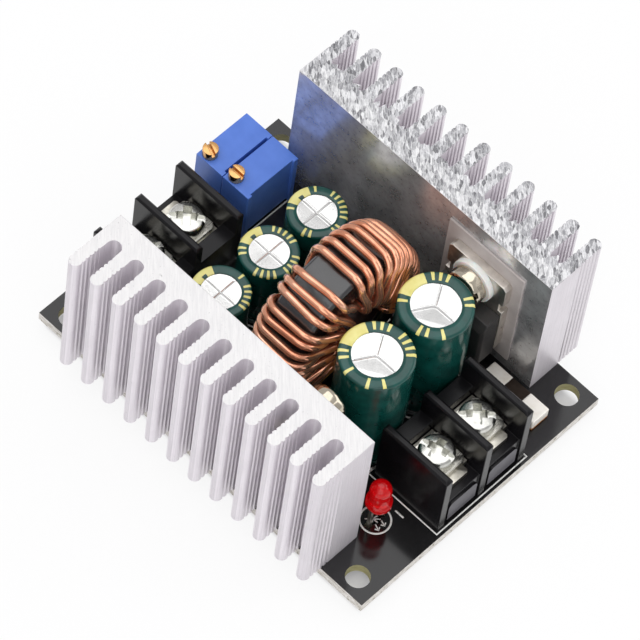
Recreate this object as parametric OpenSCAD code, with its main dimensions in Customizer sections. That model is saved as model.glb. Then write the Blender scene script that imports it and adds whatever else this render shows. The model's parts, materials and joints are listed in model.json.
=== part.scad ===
// Boost converter module: a circuit board that carries two finned heatsinks with a power device each,
// an input and an output screw terminal, two trimmers, five capacitors and a toroid inductor.
// Origin: centre of the four mounting holes on the underside of the board.
// X runs along the heatsinks, Y from the front heatsink to the rear one, Z up. Millimetres.

/* [Board] */
// Length of the circuit board along X
board_l = 60; // [58:0.5:72]
// Width of the circuit board along Y
board_w = 45.4; // [44.6:0.2:54]
// Thickness of the circuit board
board_t = 1.6; // [1:0.2:2.4]
// Diameter of the mounting holes
hole_d = 3.4; // [2.6:0.1:3.8]
// Distance of the mounting holes from the short edges
hole_inset_x = 3.3; // [2.6:0.1:4]
// Distance of the mounting holes from the long edges
hole_inset_y = 2.7; // [2.5:0.1:3.4]
// Length of lead left below the board after trimming
lead_tail = 1.6; // [1:0.1:2.5]
// Gap round each lead in its plated hole
lead_clear = 0.15; // [0.05:0.05:0.3]
// Width of the solder ring round each plated hole
solder_ring = 0.45; // [0.2:0.05:0.6]

/* [Heatsinks] */
// Number of fins on each heatsink
fin_count = 12; // [10:2:12]
// Distance from fin to fin
fin_pitch = 4; // [3.6:0.1:4.1]
// Thickness of a fin
fin_t = 1.85; // [1.4:0.05:2.2]
// Depth of the extrusion from its flat face to the fin tips
sink_depth = 10; // [9:0.5:14]
// Thickness of the base plate that joins the fins
sink_base = 3.1; // [2.6:0.1:4]
// Height of the extrusion
sink_h = 25.3; // [24:0.5:40]
// Overhang of the front fin tips past the board's edge
front_overhang = 3.2; // [2:0.1:5]
// Overhang of the rear fin tips past the board's edge
rear_overhang = 4.4; // [2:0.1:6]
// Offset of both heatsinks from the middle of the board along X
sink_x = -0.4; // [-1:0.1:1]
// Number of fine grooves on each flank of a fin
groove_count = 5; // [2:1:6]
// Distance from groove to groove
groove_pitch = 0.75; // [0.6:0.05:0.9]
// Depth of a groove
groove_depth = 0.18; // [0.1:0.02:0.25]
// Diameter of the solder pins under each heatsink
sink_pin_d = 1.5; // [1:0.1:1.8]
// Depth to which the pins are pressed into the extrusion
sink_pin_depth = 5; // [3:0.5:8]
// Distance between the two pins of a heatsink
sink_pin_span = 32; // [26:1:36]

/* [Power devices] */
// Slot of the heatsink, counted from the middle one, behind which the devices sit
device_slot = 3; // [2:1:3]
// Height of the device's screw above the board
device_screw_z = 16.8; // [15.5:0.1:20]
// Width of the metal tab
tab_w = 10.2; // [9.6:0.1:10.6]
// Thickness of the metal tab
tab_t = 1.3; // [1:0.05:1.5]
// Length of tab from the screw to its top edge
tab_above = 2.8; // [2.6:0.1:4]
// Length of tab from the screw to the moulded case
tab_below = 3.7; // [3.5:0.1:5]
// Height of the tab's lower edge above the bottom of the moulded case
tab_inset = 1; // [0.5:0.1:2]
// Depth of the notch in each side of the tab
tab_notch = 0.7; // [0.4:0.1:1]
// Height of the notch in each side of the tab
tab_notch_h = 1.6; // [1:0.1:2]
// Width of the moulded case
case_w = 10; // [9:0.1:10.6]
// Height of the moulded case
case_h = 9.2; // [7:0.1:9.6]
// Thickness of the device from the tab's back to the front of the case
case_t = 4.5; // [4:0.1:4.6]
// Slope on top of the moulded case
case_shoulder = 0.8; // [0.4:0.1:1.2]
// Bevel on the front edges of the moulded case
case_draft = 0.3; // [0.1:0.05:0.4]
// Pitch of the device's leads
device_lead_pitch = 2.54; // [2.3:0.02:3]
// Width of the device's leads
device_lead_w = 0.8; // [0.5:0.05:1]
// Thickness of the device's leads
device_lead_t = 0.5; // [0.4:0.05:0.7]
// Width of the broad upper part of the leads
lead_shoulder_w = 1.3; // [1.1:0.1:1.6]
// Length of the broad upper part of the leads
lead_shoulder_l = 1.5; // [1:0.1:2]
// Distance of the leads from the tab's back
device_lead_y = 2.6; // [2.2:0.1:3]
// Width of the insulating pad
pad_w = 13.4; // [11:0.1:15]
// Height of the insulating pad
pad_h = 20; // [17:0.5:21]
// Thickness of the insulating pad
pad_t = 0.3; // [0.1:0.05:0.5]
// Distance of the pad's top edge above the screw
pad_above = 5.4; // [3.5:0.1:6]
// Diameter of the device screws
device_screw_d = 3; // [2:0.1:3]
// Length of the device screws under the head
device_screw_l = 6; // [5:0.5:6]
// Diameter of the device screws' heads
device_head_d = 5.6; // [5:0.1:6]
// Height of the device screws' heads
device_head_h = 2.2; // [1.4:0.1:2.6]
// Diameter of the bushing's flange
bushing_d = 6.6; // [6:0.1:7]
// Thickness of the bushing's flange
bushing_flange = 0.9; // [0.6:0.1:1]
// Wall of the bushing's sleeve
bushing_wall = 0.35; // [0.25:0.05:0.5]
// Room past the screw's tip in the tapped hole
tip_room = 0.6; // [0.3:0.1:1]
// Gap between the screw, the bushing and the bored parts
screw_clear = 0.08; // [0.05:0.01:0.15]

/* [Terminals] */
// Distance from one screw of a terminal to the next
terminal_pitch = 7.62; // [7.4:0.01:8]
// Depth of the terminal housing along X
terminal_l = 11.6; // [11.2:0.1:13]
// Height of the dividers above the board
terminal_h = 12.5; // [11:0.1:15]
// Thickness of the dividers
terminal_wall = 1.2; // [0.8:0.1:1.6]
// Height of the floor under the contacts
terminal_floor = 5.6; // [5:0.1:6.5]
// Distance of the front of the floor from the front of the dividers
floor_recess = 0.4; // [0.2:0.1:0.8]
// Thickness of the wall at the closed end of each bay
terminal_back = 2.4; // [1.6:0.1:2.6]
// Height of the wall at the closed end of each bay
terminal_back_h = 8.4; // [7.4:0.1:9.4]
// Chamfer on the outer top corner of the dividers
terminal_chamfer = 0.4; // [0.3:0.1:1.6]
// Bevel along the top of the dividers
terminal_bevel = 0.3; // [0.1:0.05:0.35]
// Distance of the housings from the short edges of the board
terminal_inset = 0.8; // [0.4:0.1:1.5]
// Distance of the output housing from the front heatsink
terminal_sink_gap = 1.7; // [1:0.1:2]
// Thickness of the contact plates
contact_t = 0.9; // [0.6:0.1:1.1]
// Width of the contact's tongue at the wire entry
tongue_w = 4.3; // [3:0.1:5]
// Chamfer on the corners of the tongue
tongue_chamfer = 0.3; // [0.3:0.1:1.1]
// Distance of the tongue from the front of the floor
tongue_inset = 1.1; // [0.2:0.1:1.1]
// Width of a contact's soldered pin
contact_pin_w = 1.2; // [0.8:0.1:1.5]
// Distance of the pins from the closed end of the housing
contact_pin_x = 3.4; // [3.2:0.1:3.5]
// Distance of the screws from the closed end of the housing
terminal_screw_x = 6; // [5.9:0.1:6.5]
// Side of the square clamp plates
clamp_side = 5.8; // [5.4:0.1:5.8]
// Thickness of the clamp plates
clamp_t = 1; // [0.7:0.1:1.2]
// Chamfer on the corners of the clamp plates
clamp_chamfer = 0.6; // [0.3:0.1:1]
// Diameter of the terminal screws
terminal_screw_d = 3; // [2.5:0.1:3]
// Length of the terminal screws under the head
terminal_screw_l = 6; // [4.5:0.1:6.4]
// Diameter of the terminal screws' heads
terminal_head_d = 5.1; // [4.6:0.1:5.4]
// Height of the terminal screws' heads
terminal_head_h = 2.2; // [1.6:0.1:2.6]
// Room under the tips of the terminal screws
terminal_tip_room = 0.3; // [0.2:0.1:0.5]
// Gap round the screws, clamps and contacts
terminal_clear = 0.12; // [0.08:0.02:0.2]

/* [Trimmers] */
// Width of a trimmer along X
trimmer_w = 4.83; // [4.4:0.01:5]
// Length of a trimmer along Y
trimmer_l = 9.53; // [8.5:0.01:10.5]
// Height of a trimmer with its feet
trimmer_h = 10; // [8:0.1:12]
// Height of the feet
trimmer_foot = 0.5; // [0.3:0.1:0.8]
// Side of the feet and corner posts
trimmer_post = 0.8; // [0.6:0.05:1]
// Depth of the shallow recess on the open long side
trimmer_recess = 0.35; // [0.2:0.05:0.4]
// Least gap between the trimmers and the output housing
trimmer_housing_gap = 0.5; // [0.3:0.1:1]
// Gap between the two trimmers
trimmer_gap = 0.1; // [0.05:0.05:0.5]
// Distance of the first trimmer from the board's edge
trimmer_inset = 0.5; // [0.3:0.1:1]
// Distance of the trimmers from the rear heatsink
trimmer_sink_gap = 2.1; // [1.4:0.1:2.6]
// Distance of the adjusting screw from the trimmer's two nearest sides
trimmer_screw_inset = 1.27; // [1.2:0.01:1.4]
// Diameter of the adjusting screw's head
trimmer_head_d = 2.2; // [1.8:0.05:2.3]
// Height of the adjusting screw's head
trimmer_head_h = 1.4; // [1:0.1:1.8]
// Diameter of the adjusting screw's stem
trimmer_stem_d = 1.3; // [1:0.05:1.4]
// Length of the adjusting screw's stem
trimmer_stem_l = 4; // [2:0.5:6]
// Width of the slot in the adjusting screw's head
trimmer_slot_w = 0.5; // [0.3:0.05:0.7]
// Depth of the slot in the adjusting screw's head
trimmer_slot_depth = 0.7; // [0.4:0.1:0.9]
// Diameter of the trimmers' pins
trimmer_pin_d = 0.5; // [0.4:0.05:0.7]
// Pitch of the trimmers' pins
trimmer_pin_pitch = 2.54; // [2.2:0.02:2.8]
// Gap round the stem and under the head
trimmer_clear = 0.08; // [0.05:0.01:0.1]

/* [Capacitors] */
// Diameter of the small cans
small_cap_d = 8; // [6.3:0.1:8.4]
// Height of the small cans
small_cap_h = 12; // [9:0.5:20]
// Gap between the small capacitors
small_cap_gap = 0.75; // [0.3:0.05:1.2]
// Distance of the small capacitors from the output housing
small_cap_inset = 2.2; // [0.6:0.1:2.6]
// Pitch of the small capacitors' leads
small_cap_lead = 3.5; // [2.5:0.1:4]
// Diameter of the big cans
big_cap_d = 10; // [8:0.1:10.2]
// Height of the big cans
big_cap_h = 20; // [14:0.5:24]
// Gap between the big capacitors
big_cap_gap = 0.7; // [0.3:0.05:1.5]
// Distance of the big capacitors from the input housing and the rear device
big_cap_inset = 0.3; // [0.2:0.05:0.6]
// Pitch of the big capacitors' leads
big_cap_lead = 5; // [3.5:0.1:6]
// Diameter of the capacitors' leads
cap_lead_d = 0.6; // [0.4:0.05:0.8]
// Thickness of the rubber bung in each can
bung_t = 1.5; // [1:0.1:2]
// Width of the rim left round the bung
can_rim = 0.5; // [0.4:0.05:0.8]
// Height of the rolled groove above the bottom of a can
can_groove_z = 2.2; // [1.8:0.1:3]
// Depth of the rolled groove
can_groove = 0.2; // [0.1:0.05:0.3]
// Chamfer on the top edge of the cans
can_edge = 0.3; // [0.2:0.05:0.5]
// Thickness of the sleeves
sleeve_t = 0.15; // [0.1:0.01:0.3]
// Share of the can's diameter that the sleeve leaves bare on top
sleeve_open = 0.68; // [0.5:0.02:0.8]
// Gap between a sleeve and the board
cap_seat = 0.2; // [0.1:0.05:0.6]
// Depth of the scored lines on top of the cans
score_depth = 0.12; // [0.06:0.02:0.2]
// Width of the scored lines on top of the cans
score_w = 0.35; // [0.2:0.05:0.5]
// Distance of the scored lines' ends from the sleeve's lip
score_margin = 0.45; // [0.2:0.05:0.8]

/* [Inductor] */
// Outer diameter of the ring core
core_od = 22.6; // [20:0.1:23]
// Inner diameter of the ring core
core_id = 13; // [12.4:0.1:14]
// Thickness of the ring core along X
core_t = 6.8; // [5:0.1:7.4]
// Chamfer on the edges of the ring core
core_chamfer = 0.4; // [0.2:0.05:0.6]
// Diameter of the enamelled wire
wire_d = 1.1; // [0.6:0.05:1.15]
// Slack between the wire and the core
wire_slack = 0.15; // [0.15:0.01:0.25]
// Radius of the inside of the wire's bends
wire_inner_bend = 0.36; // [0.3:0.02:0.5]
// Distance of the winding from the big capacitors
inductor_gap = 0.5; // [0.3:0.1:2]
// Least gap between the winding and the small capacitors, with room for the regulator
coil_gap = 2.2; // [2.2:0.1:2.8]
// Gap between the winding and the board
inductor_seat = 0.15; // [0.1:0.05:0.4]

/* [Indicator and shunt] */
// Diameter of the indicator lamp's dome
led_d = 3; // [2:0.1:3.4]
// Diameter of the indicator lamp's flange
led_flange_d = 3.6; // [3.5:0.1:4.2]
// Height of the flange
led_flange_h = 1; // [0.6:0.1:1.4]
// Height of the indicator lamp with its flange
led_h = 5; // [4:0.1:6]
// Height of the flange above the board
led_lift = 4.5; // [1:0.1:5]
// Width of the lamp's square leads
led_lead_w = 0.5; // [0.4:0.05:0.6]
// Pitch of the lamp's leads
led_lead_pitch = 2.54; // [1.8:0.02:2.8]
// Distance of the lamp from the board's edge
led_inset = 7.6; // [6:0.1:8]
// Distance of the lamp from the front heatsink
led_sink_gap = 3.6; // [2.6:0.1:4]
// Length of the current shunt
shunt_l = 10; // [8:0.1:10.4]
// Width of the current shunt
shunt_w = 3.2; // [2:0.1:3.4]
// Height of the current shunt
shunt_h = 2; // [1:0.1:2.6]
// Length of each tinned end of the shunt
shunt_end = 3.4; // [2:0.1:3.8]
// Thickness of the resistive strip
shunt_strip_t = 0.9; // [0.4:0.1:0.9]
// Side of the trimming notch in the resistive strip
shunt_notch = 1; // [0.4:0.1:1.1]
// Distance of the shunt from the board's edge
shunt_inset = 2.8; // [2:0.1:3]
// Least gap between the shunt and the rear device's leads
shunt_lead_gap = 0.5; // [0.3:0.1:1]
// Distance of the shunt from the rear heatsink
shunt_sink_gap = 1.4; // [0.8:0.1:2]

/* [Control chips] */
// Length of a control chip's body
chip_l = 4.9; // [4:0.1:5.2]
// Width of a control chip's body
chip_w = 3.9; // [3:0.1:4]
// Height of a chip above the board
chip_h = 1.6; // [1.2:0.1:1.8]
// Gap between the controller and the regulator
chip_gap = 0.7; // [0.5:0.1:0.8]
// Distance of the control chips from the heatsinks
chip_sink_gap = 1.6; // [1.3:0.1:2]
// Reach of a chip's feet past its body
chip_foot = 1; // [0.8:0.1:1.2]
// Distance of the bend in a chip's feet from its body
chip_knee = 0.45; // [0.3:0.05:0.5]
// Gap between a chip's body and the board
chip_standoff = 0.1; // [0.05:0.05:0.2]
// Draft on the sides of a chip's body
chip_draft = 0.15; // [0.1:0.05:0.25]
// Pitch of the control chips' feet
chip_pitch = 1.27; // [1:0.01:1.27]
// Thickness of a chip's feet
chip_foot_t = 0.2; // [0.15:0.05:0.25]
// Width of a chip's feet
chip_foot_w = 0.42; // [0.3:0.02:0.5]
// Length of the regulator's body
regulator_l = 4.5; // [3:0.1:4.6]
// Width of the regulator's body
regulator_w = 2.5; // [1.6:0.1:2.6]

/* [Hidden] */
$fn = 48;
eps = 0.01;

// Proportions of the pan heads: straight part of the height, then the cross recess
head_straight = 0.55;
recess_span = 0.65;
recess_bar = 0.17;
recess_floor = 0.45;

// Share of each trimmed lead that the solder climbs
solder_rise = 0.75;

// Rows of parts that have to fit between the heatsinks
device_stack = pad_t + case_t;
small_sleeve_r = small_cap_d / 2 + sleeve_t;
big_sleeve_r = big_cap_d / 2 + sleeve_t;
terminal_w = 2 * terminal_pitch + terminal_wall;
capacitor_row = 2 * device_stack + 2 * big_cap_inset + 4 * big_sleeve_r + big_cap_gap;
trimmer_row = terminal_sink_gap + terminal_w + trimmer_housing_gap + trimmer_l + trimmer_sink_gap;

// Heatsinks: the flat faces look at each other across the board.
// They overhang it by more where the rows between them need the room.
sink_l = (fin_count - 1) * fin_pitch + fin_t;
slot_w = fin_pitch - fin_t;
row_room = board_w + front_overhang + rear_overhang - 2 * sink_depth;
spread = max(0, (max(capacitor_row, trimmer_row) - row_room) / 2);
front_face_y = -board_w / 2 - front_overhang + sink_depth - spread;
rear_face_y = board_w / 2 + rear_overhang - sink_depth + spread;
middle_y = (front_face_y + rear_face_y) / 2;

// Power devices, behind one slot of each heatsink so that the screw's tip ends in the slot
device_x = sink_x + device_slot * fin_pitch;
tapped_depth = device_screw_l - bushing_flange - tab_t - pad_t + tip_room;
case_z = device_screw_z - tab_below - case_h;
rear_case_y = rear_face_y - device_stack;

// Reach of the winding past the core, in two layers beside the ring and inside it
wire_offset = wire_d / 2 + wire_slack;
valley_rise = 0.92;
wire_layer = valley_rise * wire_d;
wind_half = core_t / 2 + wire_offset;
coil_half = wind_half + wire_layer + wire_d / 2;

// Terminals: the closed ends look inwards. They stand at the short edges of the board,
// and reach past them where the row of parts between the housings needs the room.
coil_row = small_cap_inset + 2 * small_sleeve_r + coil_gap + 2 * coil_half + inductor_gap
    + 2 * big_sleeve_r + big_cap_inset;
input_x = max(board_l / 2 - terminal_inset - terminal_l, coil_row / 2);
output_x = -input_x;
output_y = front_face_y + terminal_sink_gap + terminal_w / 2;
bay_w = terminal_pitch - terminal_wall;
contact_z = terminal_floor + contact_t;
screw_pocket = terminal_screw_l - contact_t - clamp_t + terminal_tip_room;

// Capacitors and inductor, packed from the terminals inwards
small_cap_x = output_x + small_cap_inset + small_sleeve_r;
big_cap_x = input_x - big_cap_inset - big_sleeve_r;
big_cap_y = rear_case_y - big_cap_inset - big_sleeve_r;
small_caps = [for (k = [1, 0, -1]) [small_cap_x, middle_y + k * (2 * small_sleeve_r + small_cap_gap)]];
big_caps = [for (k = [0, 1]) [big_cap_x, big_cap_y - k * (2 * big_sleeve_r + big_cap_gap)]];

// Winding: turns lie in groups of [angle of the first turn from the top, turns, step].
// Inside the ring every second turn rides on its neighbours, so that all of them fit.
turn_groups = [[-119, 9, 8.5], [-40, 3, 8.5], [-3, 3, 8.5], [26, 12, 7.2]];
wire_sides = 6;
arc_steps = 3;
wire_bend = wire_d / 2 + wire_inner_bend;
wind_outer = core_od / 2 + wire_offset;
wind_inner = core_id / 2 - wire_offset;
ring_x = big_cap_x - big_sleeve_r - inductor_gap - coil_half;
ring_z = board_t + inductor_seat + wind_outer + wire_d / 2;
turn_angles = [for (g = turn_groups) for (k = [0 : g[1] - 1]) g[0] + k * g[2]];
turns = len(turn_angles);

// Trimmers
trimmer_y = rear_face_y - trimmer_sink_gap - trimmer_l;
trimmer_xs = [for (k = [0, 1]) -board_l / 2 + trimmer_inset + k * (trimmer_w + trimmer_gap)];

// Lamp, shunt and chips
lamp_x = board_l / 2 - led_inset;
lamp_y = front_face_y + led_sink_gap;
shunt_x = max(
    board_l / 2 - shunt_inset - shunt_l,
    device_x + device_lead_pitch + lead_shoulder_w / 2 + shunt_lead_gap
);
shunt_y = rear_face_y - shunt_sink_gap - shunt_w;
chip_side_feet = 4;
regulator_feet = 3;
chip_reach = chip_w / 2 + chip_foot;
controller_y = rear_face_y - chip_sink_gap - chip_reach;
amplifier_y = front_face_y + chip_sink_gap + chip_reach;
regulator_x = ring_x - chip_l / 2 - chip_gap - regulator_l / 2;
regulator_y = rear_face_y - chip_sink_gap - chip_foot - regulator_w / 2;

// Leads through the board: [x, y, diameter] or [x, y, width along X, width along Y]
sink_pin_leads = [
    for (y = [front_face_y - sink_base / 2, rear_face_y + sink_base / 2]) for (s = [-1, 1])
        [sink_x + s * sink_pin_span / 2, y, sink_pin_d]
];
front_device_leads = device_leads(front_face_y + pad_t + device_lead_y);
rear_device_leads = device_leads(rear_face_y - pad_t - device_lead_y);
input_leads = contact_leads(input_x + contact_pin_x, middle_y);
output_leads = contact_leads(output_x - contact_pin_x, output_y);
small_cap_leads = cap_leads(small_caps, small_cap_lead);
big_cap_leads = cap_leads(big_caps, big_cap_lead);
lamp_lead_places = [
    for (s = [-1, 1]) [lamp_x, lamp_y + s * led_lead_pitch / 2, led_lead_w, led_lead_w]
];
winding_leads = [
    for (e = [[-1, turn_angles[0]], [1, turn_angles[turns - 1]]])
        [ring_x + e[0] * wind_half, middle_y + wind_outer * sin(e[1]), wire_d]
];
all_leads = concat(
    sink_pin_leads, front_device_leads, rear_device_leads, input_leads, output_leads, trimmer_leads(0),
    trimmer_leads(1), small_cap_leads, big_cap_leads, lamp_lead_places, winding_leads
);

function device_leads(y) = [
    for (k = [-1 : 1]) [device_x + k * device_lead_pitch, y, device_lead_w, device_lead_t]
];
function contact_leads(x, y) = [
    for (s = [-1, 1]) [x, y + s * terminal_pitch / 2, contact_pin_w, contact_t]
];
function cap_leads(places, pitch) = [
    for (c = places) for (s = [-1, 1]) [c.x + s * pitch / 2, c.y, cap_lead_d]
];
function trimmer_leads(k) = [
    for (j = [-1 : 1])
        [trimmer_xs[k] + trimmer_w / 2 + (j == 0 ? 1 : -1) * trimmer_pin_pitch / 4,
         trimmer_y + trimmer_l / 2 + j * trimmer_pin_pitch, trimmer_pin_d]
];
function lead_hole_d(lead) =
    (len(lead) == 3 ? lead[2] : norm([lead[2], lead[3]])) + 2 * lead_clear;

// Rectangle with square corners cut off at 45 degrees, centred
module chamfered_square(l, w, c) {
    x = l / 2;
    y = w / 2;
    polygon([
        [-x + c, -y], [x - c, -y], [x, -y + c], [x, y - c],
        [x - c, y], [-x + c, y], [-x, y - c], [-x, -y + c]
    ]);
}

module lead_section(lead) {
    translate([lead.x, lead.y])
        if (len(lead) == 3) circle(d = lead[2]);
        else square([lead[2], lead[3]], center = true);
}

// Straight leads from a height above the board down to the trimmed tail
module straight_leads(leads, top) {
    for (lead = leads)
        translate([0, 0, -lead_tail])
            linear_extrude(lead_tail + board_t + top) lead_section(lead);
}

module circuit_board() {
    color([0.06, 0.06, 0.07])
        linear_extrude(board_t) difference() {
            square([board_l, board_w], center = true);
            for (sx = [-1, 1]) for (sy = [-1, 1])
                translate([sx * (board_l / 2 - hole_inset_x), sy * (board_w / 2 - hole_inset_y)])
                    circle(d = hole_d);
            for (lead = all_leads)
                translate([lead.x, lead.y]) circle(d = lead_hole_d(lead));
        }
}

// Middle of fin k in the heatsink's own frame, or of a slot half-way between two fins
function fin_x(k) = -sink_l / 2 + fin_t / 2 + k * fin_pitch;

// Section of the extrusion: flat face on Y 0, fins towards -Y with round tips, slots with round bottoms
module sink_section() {
    difference() {
        union() {
            translate([-sink_l / 2, -sink_depth + fin_t / 2]) square([sink_l, sink_depth - fin_t / 2]);
            for (k = [0 : fin_count - 1])
                translate([fin_x(k), -sink_depth + fin_t / 2]) circle(d = fin_t);
        }
        for (k = [0 : fin_count - 2])
            translate([fin_x(k + 0.5), -sink_base - slot_w / 2]) {
                circle(d = slot_w);
                translate([-slot_w / 2, -sink_depth]) square([slot_w, sink_depth]);
            }
        for (k = [0 : fin_count - 1]) for (s = [-1, 1]) for (g = [0 : groove_count - 1])
            translate([fin_x(k) + s * fin_t / 2, -sink_depth + fin_t / 2 + (g + 0.5) * groove_pitch])
                circle(r = groove_depth, $fn = 4);
    }
}

// Heatsink in its own frame, flat face on Y 0, with the tapped hole and the two pin holes
module heatsink() {
    color([0.78, 0.77, 0.8]) difference() {
        linear_extrude(sink_h) sink_section();
        translate([device_x - sink_x, eps, device_screw_z])
            rotate([90, 0, 0]) cylinder(d = device_screw_d + 2 * screw_clear, h = tapped_depth + eps);
        for (s = [-1, 1])
            translate([s * sink_pin_span / 2, -sink_base / 2, -eps])
                cylinder(d = sink_pin_d, h = sink_pin_depth + eps);
    }
}

// Puts a piece in front of the front heatsink's face, its back on Y 0 and its front towards +Y
module at_front_sink() {
    translate([sink_x, front_face_y, board_t]) children();
}

module at_rear_sink() {
    translate([sink_x, rear_face_y, board_t]) mirror([0, 1, 0]) children();
}

module front_heatsink() { at_front_sink() heatsink(); }

module rear_heatsink() { at_rear_sink() heatsink(); }

module heatsink_pins() {
    color([0.8, 0.8, 0.78]) straight_leads(sink_pin_leads, sink_pin_depth);
}

// Places a device's piece on the screw's axis, on the outer face of the insulating pad
module on_pad() {
    translate([device_x - sink_x, pad_t, device_screw_z]) children();
}

// Extrudes a shape drawn in X and Z towards +Y
module towards_front(depth) {
    translate([0, depth, 0]) rotate([90, 0, 0]) linear_extrude(depth) children();
}

module insulator() {
    color([0.62, 0.63, 0.65])
        translate([device_x - sink_x, 0, device_screw_z])
            towards_front(pad_t) difference() {
                translate([-pad_w / 2, pad_above - pad_h]) square([pad_w, pad_h]);
                circle(d = device_screw_d + 2 * screw_clear);
            }
}

module front_insulator() { at_front_sink() insulator(); }

module rear_insulator() { at_rear_sink() insulator(); }

// Moulded case in front of the tab: sloped shoulder on top and bevelled front edges
module device_case() {
    depth = case_t - tab_t;
    color([0.1, 0.1, 0.11]) on_pad()
        translate([0, tab_t, -tab_below - case_h]) difference() {
            rotate([90, 0, 90])
                translate([0, 0, -case_w / 2])
                    linear_extrude(case_w)
                        polygon([
                            [0, 0], [depth - case_draft, 0], [depth, case_draft],
                            [depth, case_h - 2 * case_shoulder], [depth - case_shoulder, case_h], [0, case_h]
                        ]);
            for (s = [-1, 1])
                translate([s * case_w / 2, depth, -eps])
                    linear_extrude(case_h + 2 * eps)
                        rotate(45) square(2 * case_draft, center = true);
        }
}

module front_device_case() { at_front_sink() device_case(); }

module rear_device_case() { at_rear_sink() device_case(); }

// Tab with notched sides and a hole, and the three leads under the case
module device_leadframe() {
    hole = device_screw_d + 2 * (bushing_wall + 2 * screw_clear);
    bottom = -tab_below - case_h;
    color([0.76, 0.77, 0.79]) on_pad() {
        towards_front(tab_t) difference() {
            translate([-tab_w / 2, bottom + tab_inset])
                square([tab_w, tab_above - bottom - tab_inset]);
            circle(d = hole);
            for (s = [-1, 1]) {
                translate([s * tab_w / 2, -tab_below + tab_notch_h])
                    square([2 * tab_notch, tab_notch_h], center = true);
                translate([s * tab_w / 2, tab_above]) rotate(45) square(tab_notch, center = true);
            }
        }
        for (k = [-1 : 1])
            translate([k * device_lead_pitch, device_lead_y, bottom])
                mirror([0, 0, 1]) {
                    linear_extrude(case_z + board_t + lead_tail)
                        square([device_lead_w, device_lead_t], center = true);
                    linear_extrude(lead_shoulder_l)
                        square([lead_shoulder_w, device_lead_t], center = true);
                }
    }
}

module front_device_leadframe() { at_front_sink() device_leadframe(); }

module rear_device_leadframe() { at_rear_sink() device_leadframe(); }

// Shoulder washer: flange on the tab, sleeve in the tab's hole
module bushing() {
    bore = device_screw_d + 2 * screw_clear;
    color([0.94, 0.94, 0.92]) on_pad()
        rotate([90, 0, 0]) translate([0, 0, -tab_t - bushing_flange])
            difference() {
                union() {
                    cylinder(d = bushing_d, h = bushing_flange);
                    cylinder(d = bore + 2 * bushing_wall, h = bushing_flange + tab_t);
                }
                translate([0, 0, -eps]) cylinder(d = bore, h = bushing_flange + tab_t + 2 * eps);
            }
}

module front_bushing() { at_front_sink() bushing(); }

module rear_bushing() { at_rear_sink() bushing(); }

// Pan head with a domed top, its underside on Z 0, the shank below it and a cross recess above it
module pan_screw(head_d, head_h, shank_d, shank_l) {
    dome = head_h * (1 - head_straight);
    bar = head_d * recess_bar;
    recess = head_d * recess_span;
    difference() {
        union() {
            rotate_extrude() polygon(concat(
                [[0, 0], [head_d / 2, 0]],
                [for (a = [0 : 15 : 90]) [head_d / 2 - (1 - cos(a)) * dome, head_h - (1 - sin(a)) * dome]],
                [[0, head_h]]
            ));
            translate([0, 0, -shank_l]) cylinder(d = shank_d, h = shank_l);
        }
        for (a = [0, 90])
            rotate([0, 0, a])
                translate([-recess / 2, -bar / 2, head_h * recess_floor]) cube([recess, bar, head_h]);
    }
}

module device_screw() {
    color([0.8, 0.8, 0.82]) on_pad()
        translate([0, tab_t + bushing_flange, 0]) rotate([-90, 0, 0])
            pan_screw(device_head_d, device_head_h, device_screw_d, device_screw_l);
}

module front_device_screw() { at_front_sink() device_screw(); }

module rear_device_screw() { at_rear_sink() device_screw(); }

// Terminal in its own frame: closed end on X 0, wire entry towards +X, bays centred on Y 0
module at_input() {
    translate([input_x, middle_y, board_t]) children();
}

module at_output() {
    translate([output_x, output_y, board_t]) rotate([0, 0, 180]) children();
}

// Side of bay a or b of a terminal
function bay_y(bay) = (bay == "a" ? -1 : 1) * terminal_pitch / 2;

// Divider with chamfered upper corners and a bevel along both sides of its top
module terminal_divider() {
    c = terminal_chamfer;
    w = terminal_wall / 2;
    intersection() {
        rotate([90, 0, 0])
            translate([0, 0, -w])
                linear_extrude(terminal_wall)
                    polygon([
                        [0, 0], [terminal_l, 0], [terminal_l, terminal_h - c], [terminal_l - c, terminal_h],
                        [terminal_bevel, terminal_h], [0, terminal_h - terminal_bevel]
                    ]);
        rotate([90, 0, 90])
            linear_extrude(terminal_l)
                polygon([
                    [-w, 0], [w, 0], [w, terminal_h - terminal_bevel], [w - terminal_bevel, terminal_h],
                    [terminal_bevel - w, terminal_h], [-w, terminal_h - terminal_bevel]
                ]);
    }
}

module terminal_housing() {
    pin_slot = contact_pin_w + 2 * terminal_clear;
    color([0.07, 0.07, 0.08]) difference() {
        union() {
            translate([0, -terminal_w / 2, 0])
                cube([terminal_l - floor_recess, terminal_w, terminal_floor]);
            translate([0, -terminal_w / 2, 0]) cube([terminal_back, terminal_w, terminal_back_h]);
            for (k = [-1 : 1])
                translate([0, k * terminal_pitch, 0]) terminal_divider();
        }
        for (bay = ["a", "b"]) {
            translate([terminal_screw_x, bay_y(bay), terminal_floor - screw_pocket])
                cylinder(d = terminal_screw_d + 4 * terminal_clear, h = screw_pocket + eps);
            translate([contact_pin_x, bay_y(bay), terminal_floor / 2])
                cube([pin_slot, contact_t + 2 * terminal_clear, terminal_floor + 2 * eps], center = true);
        }
    }
}

module input_terminal_housing() { at_input() terminal_housing(); }

module output_terminal_housing() { at_output() terminal_housing(); }

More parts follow.
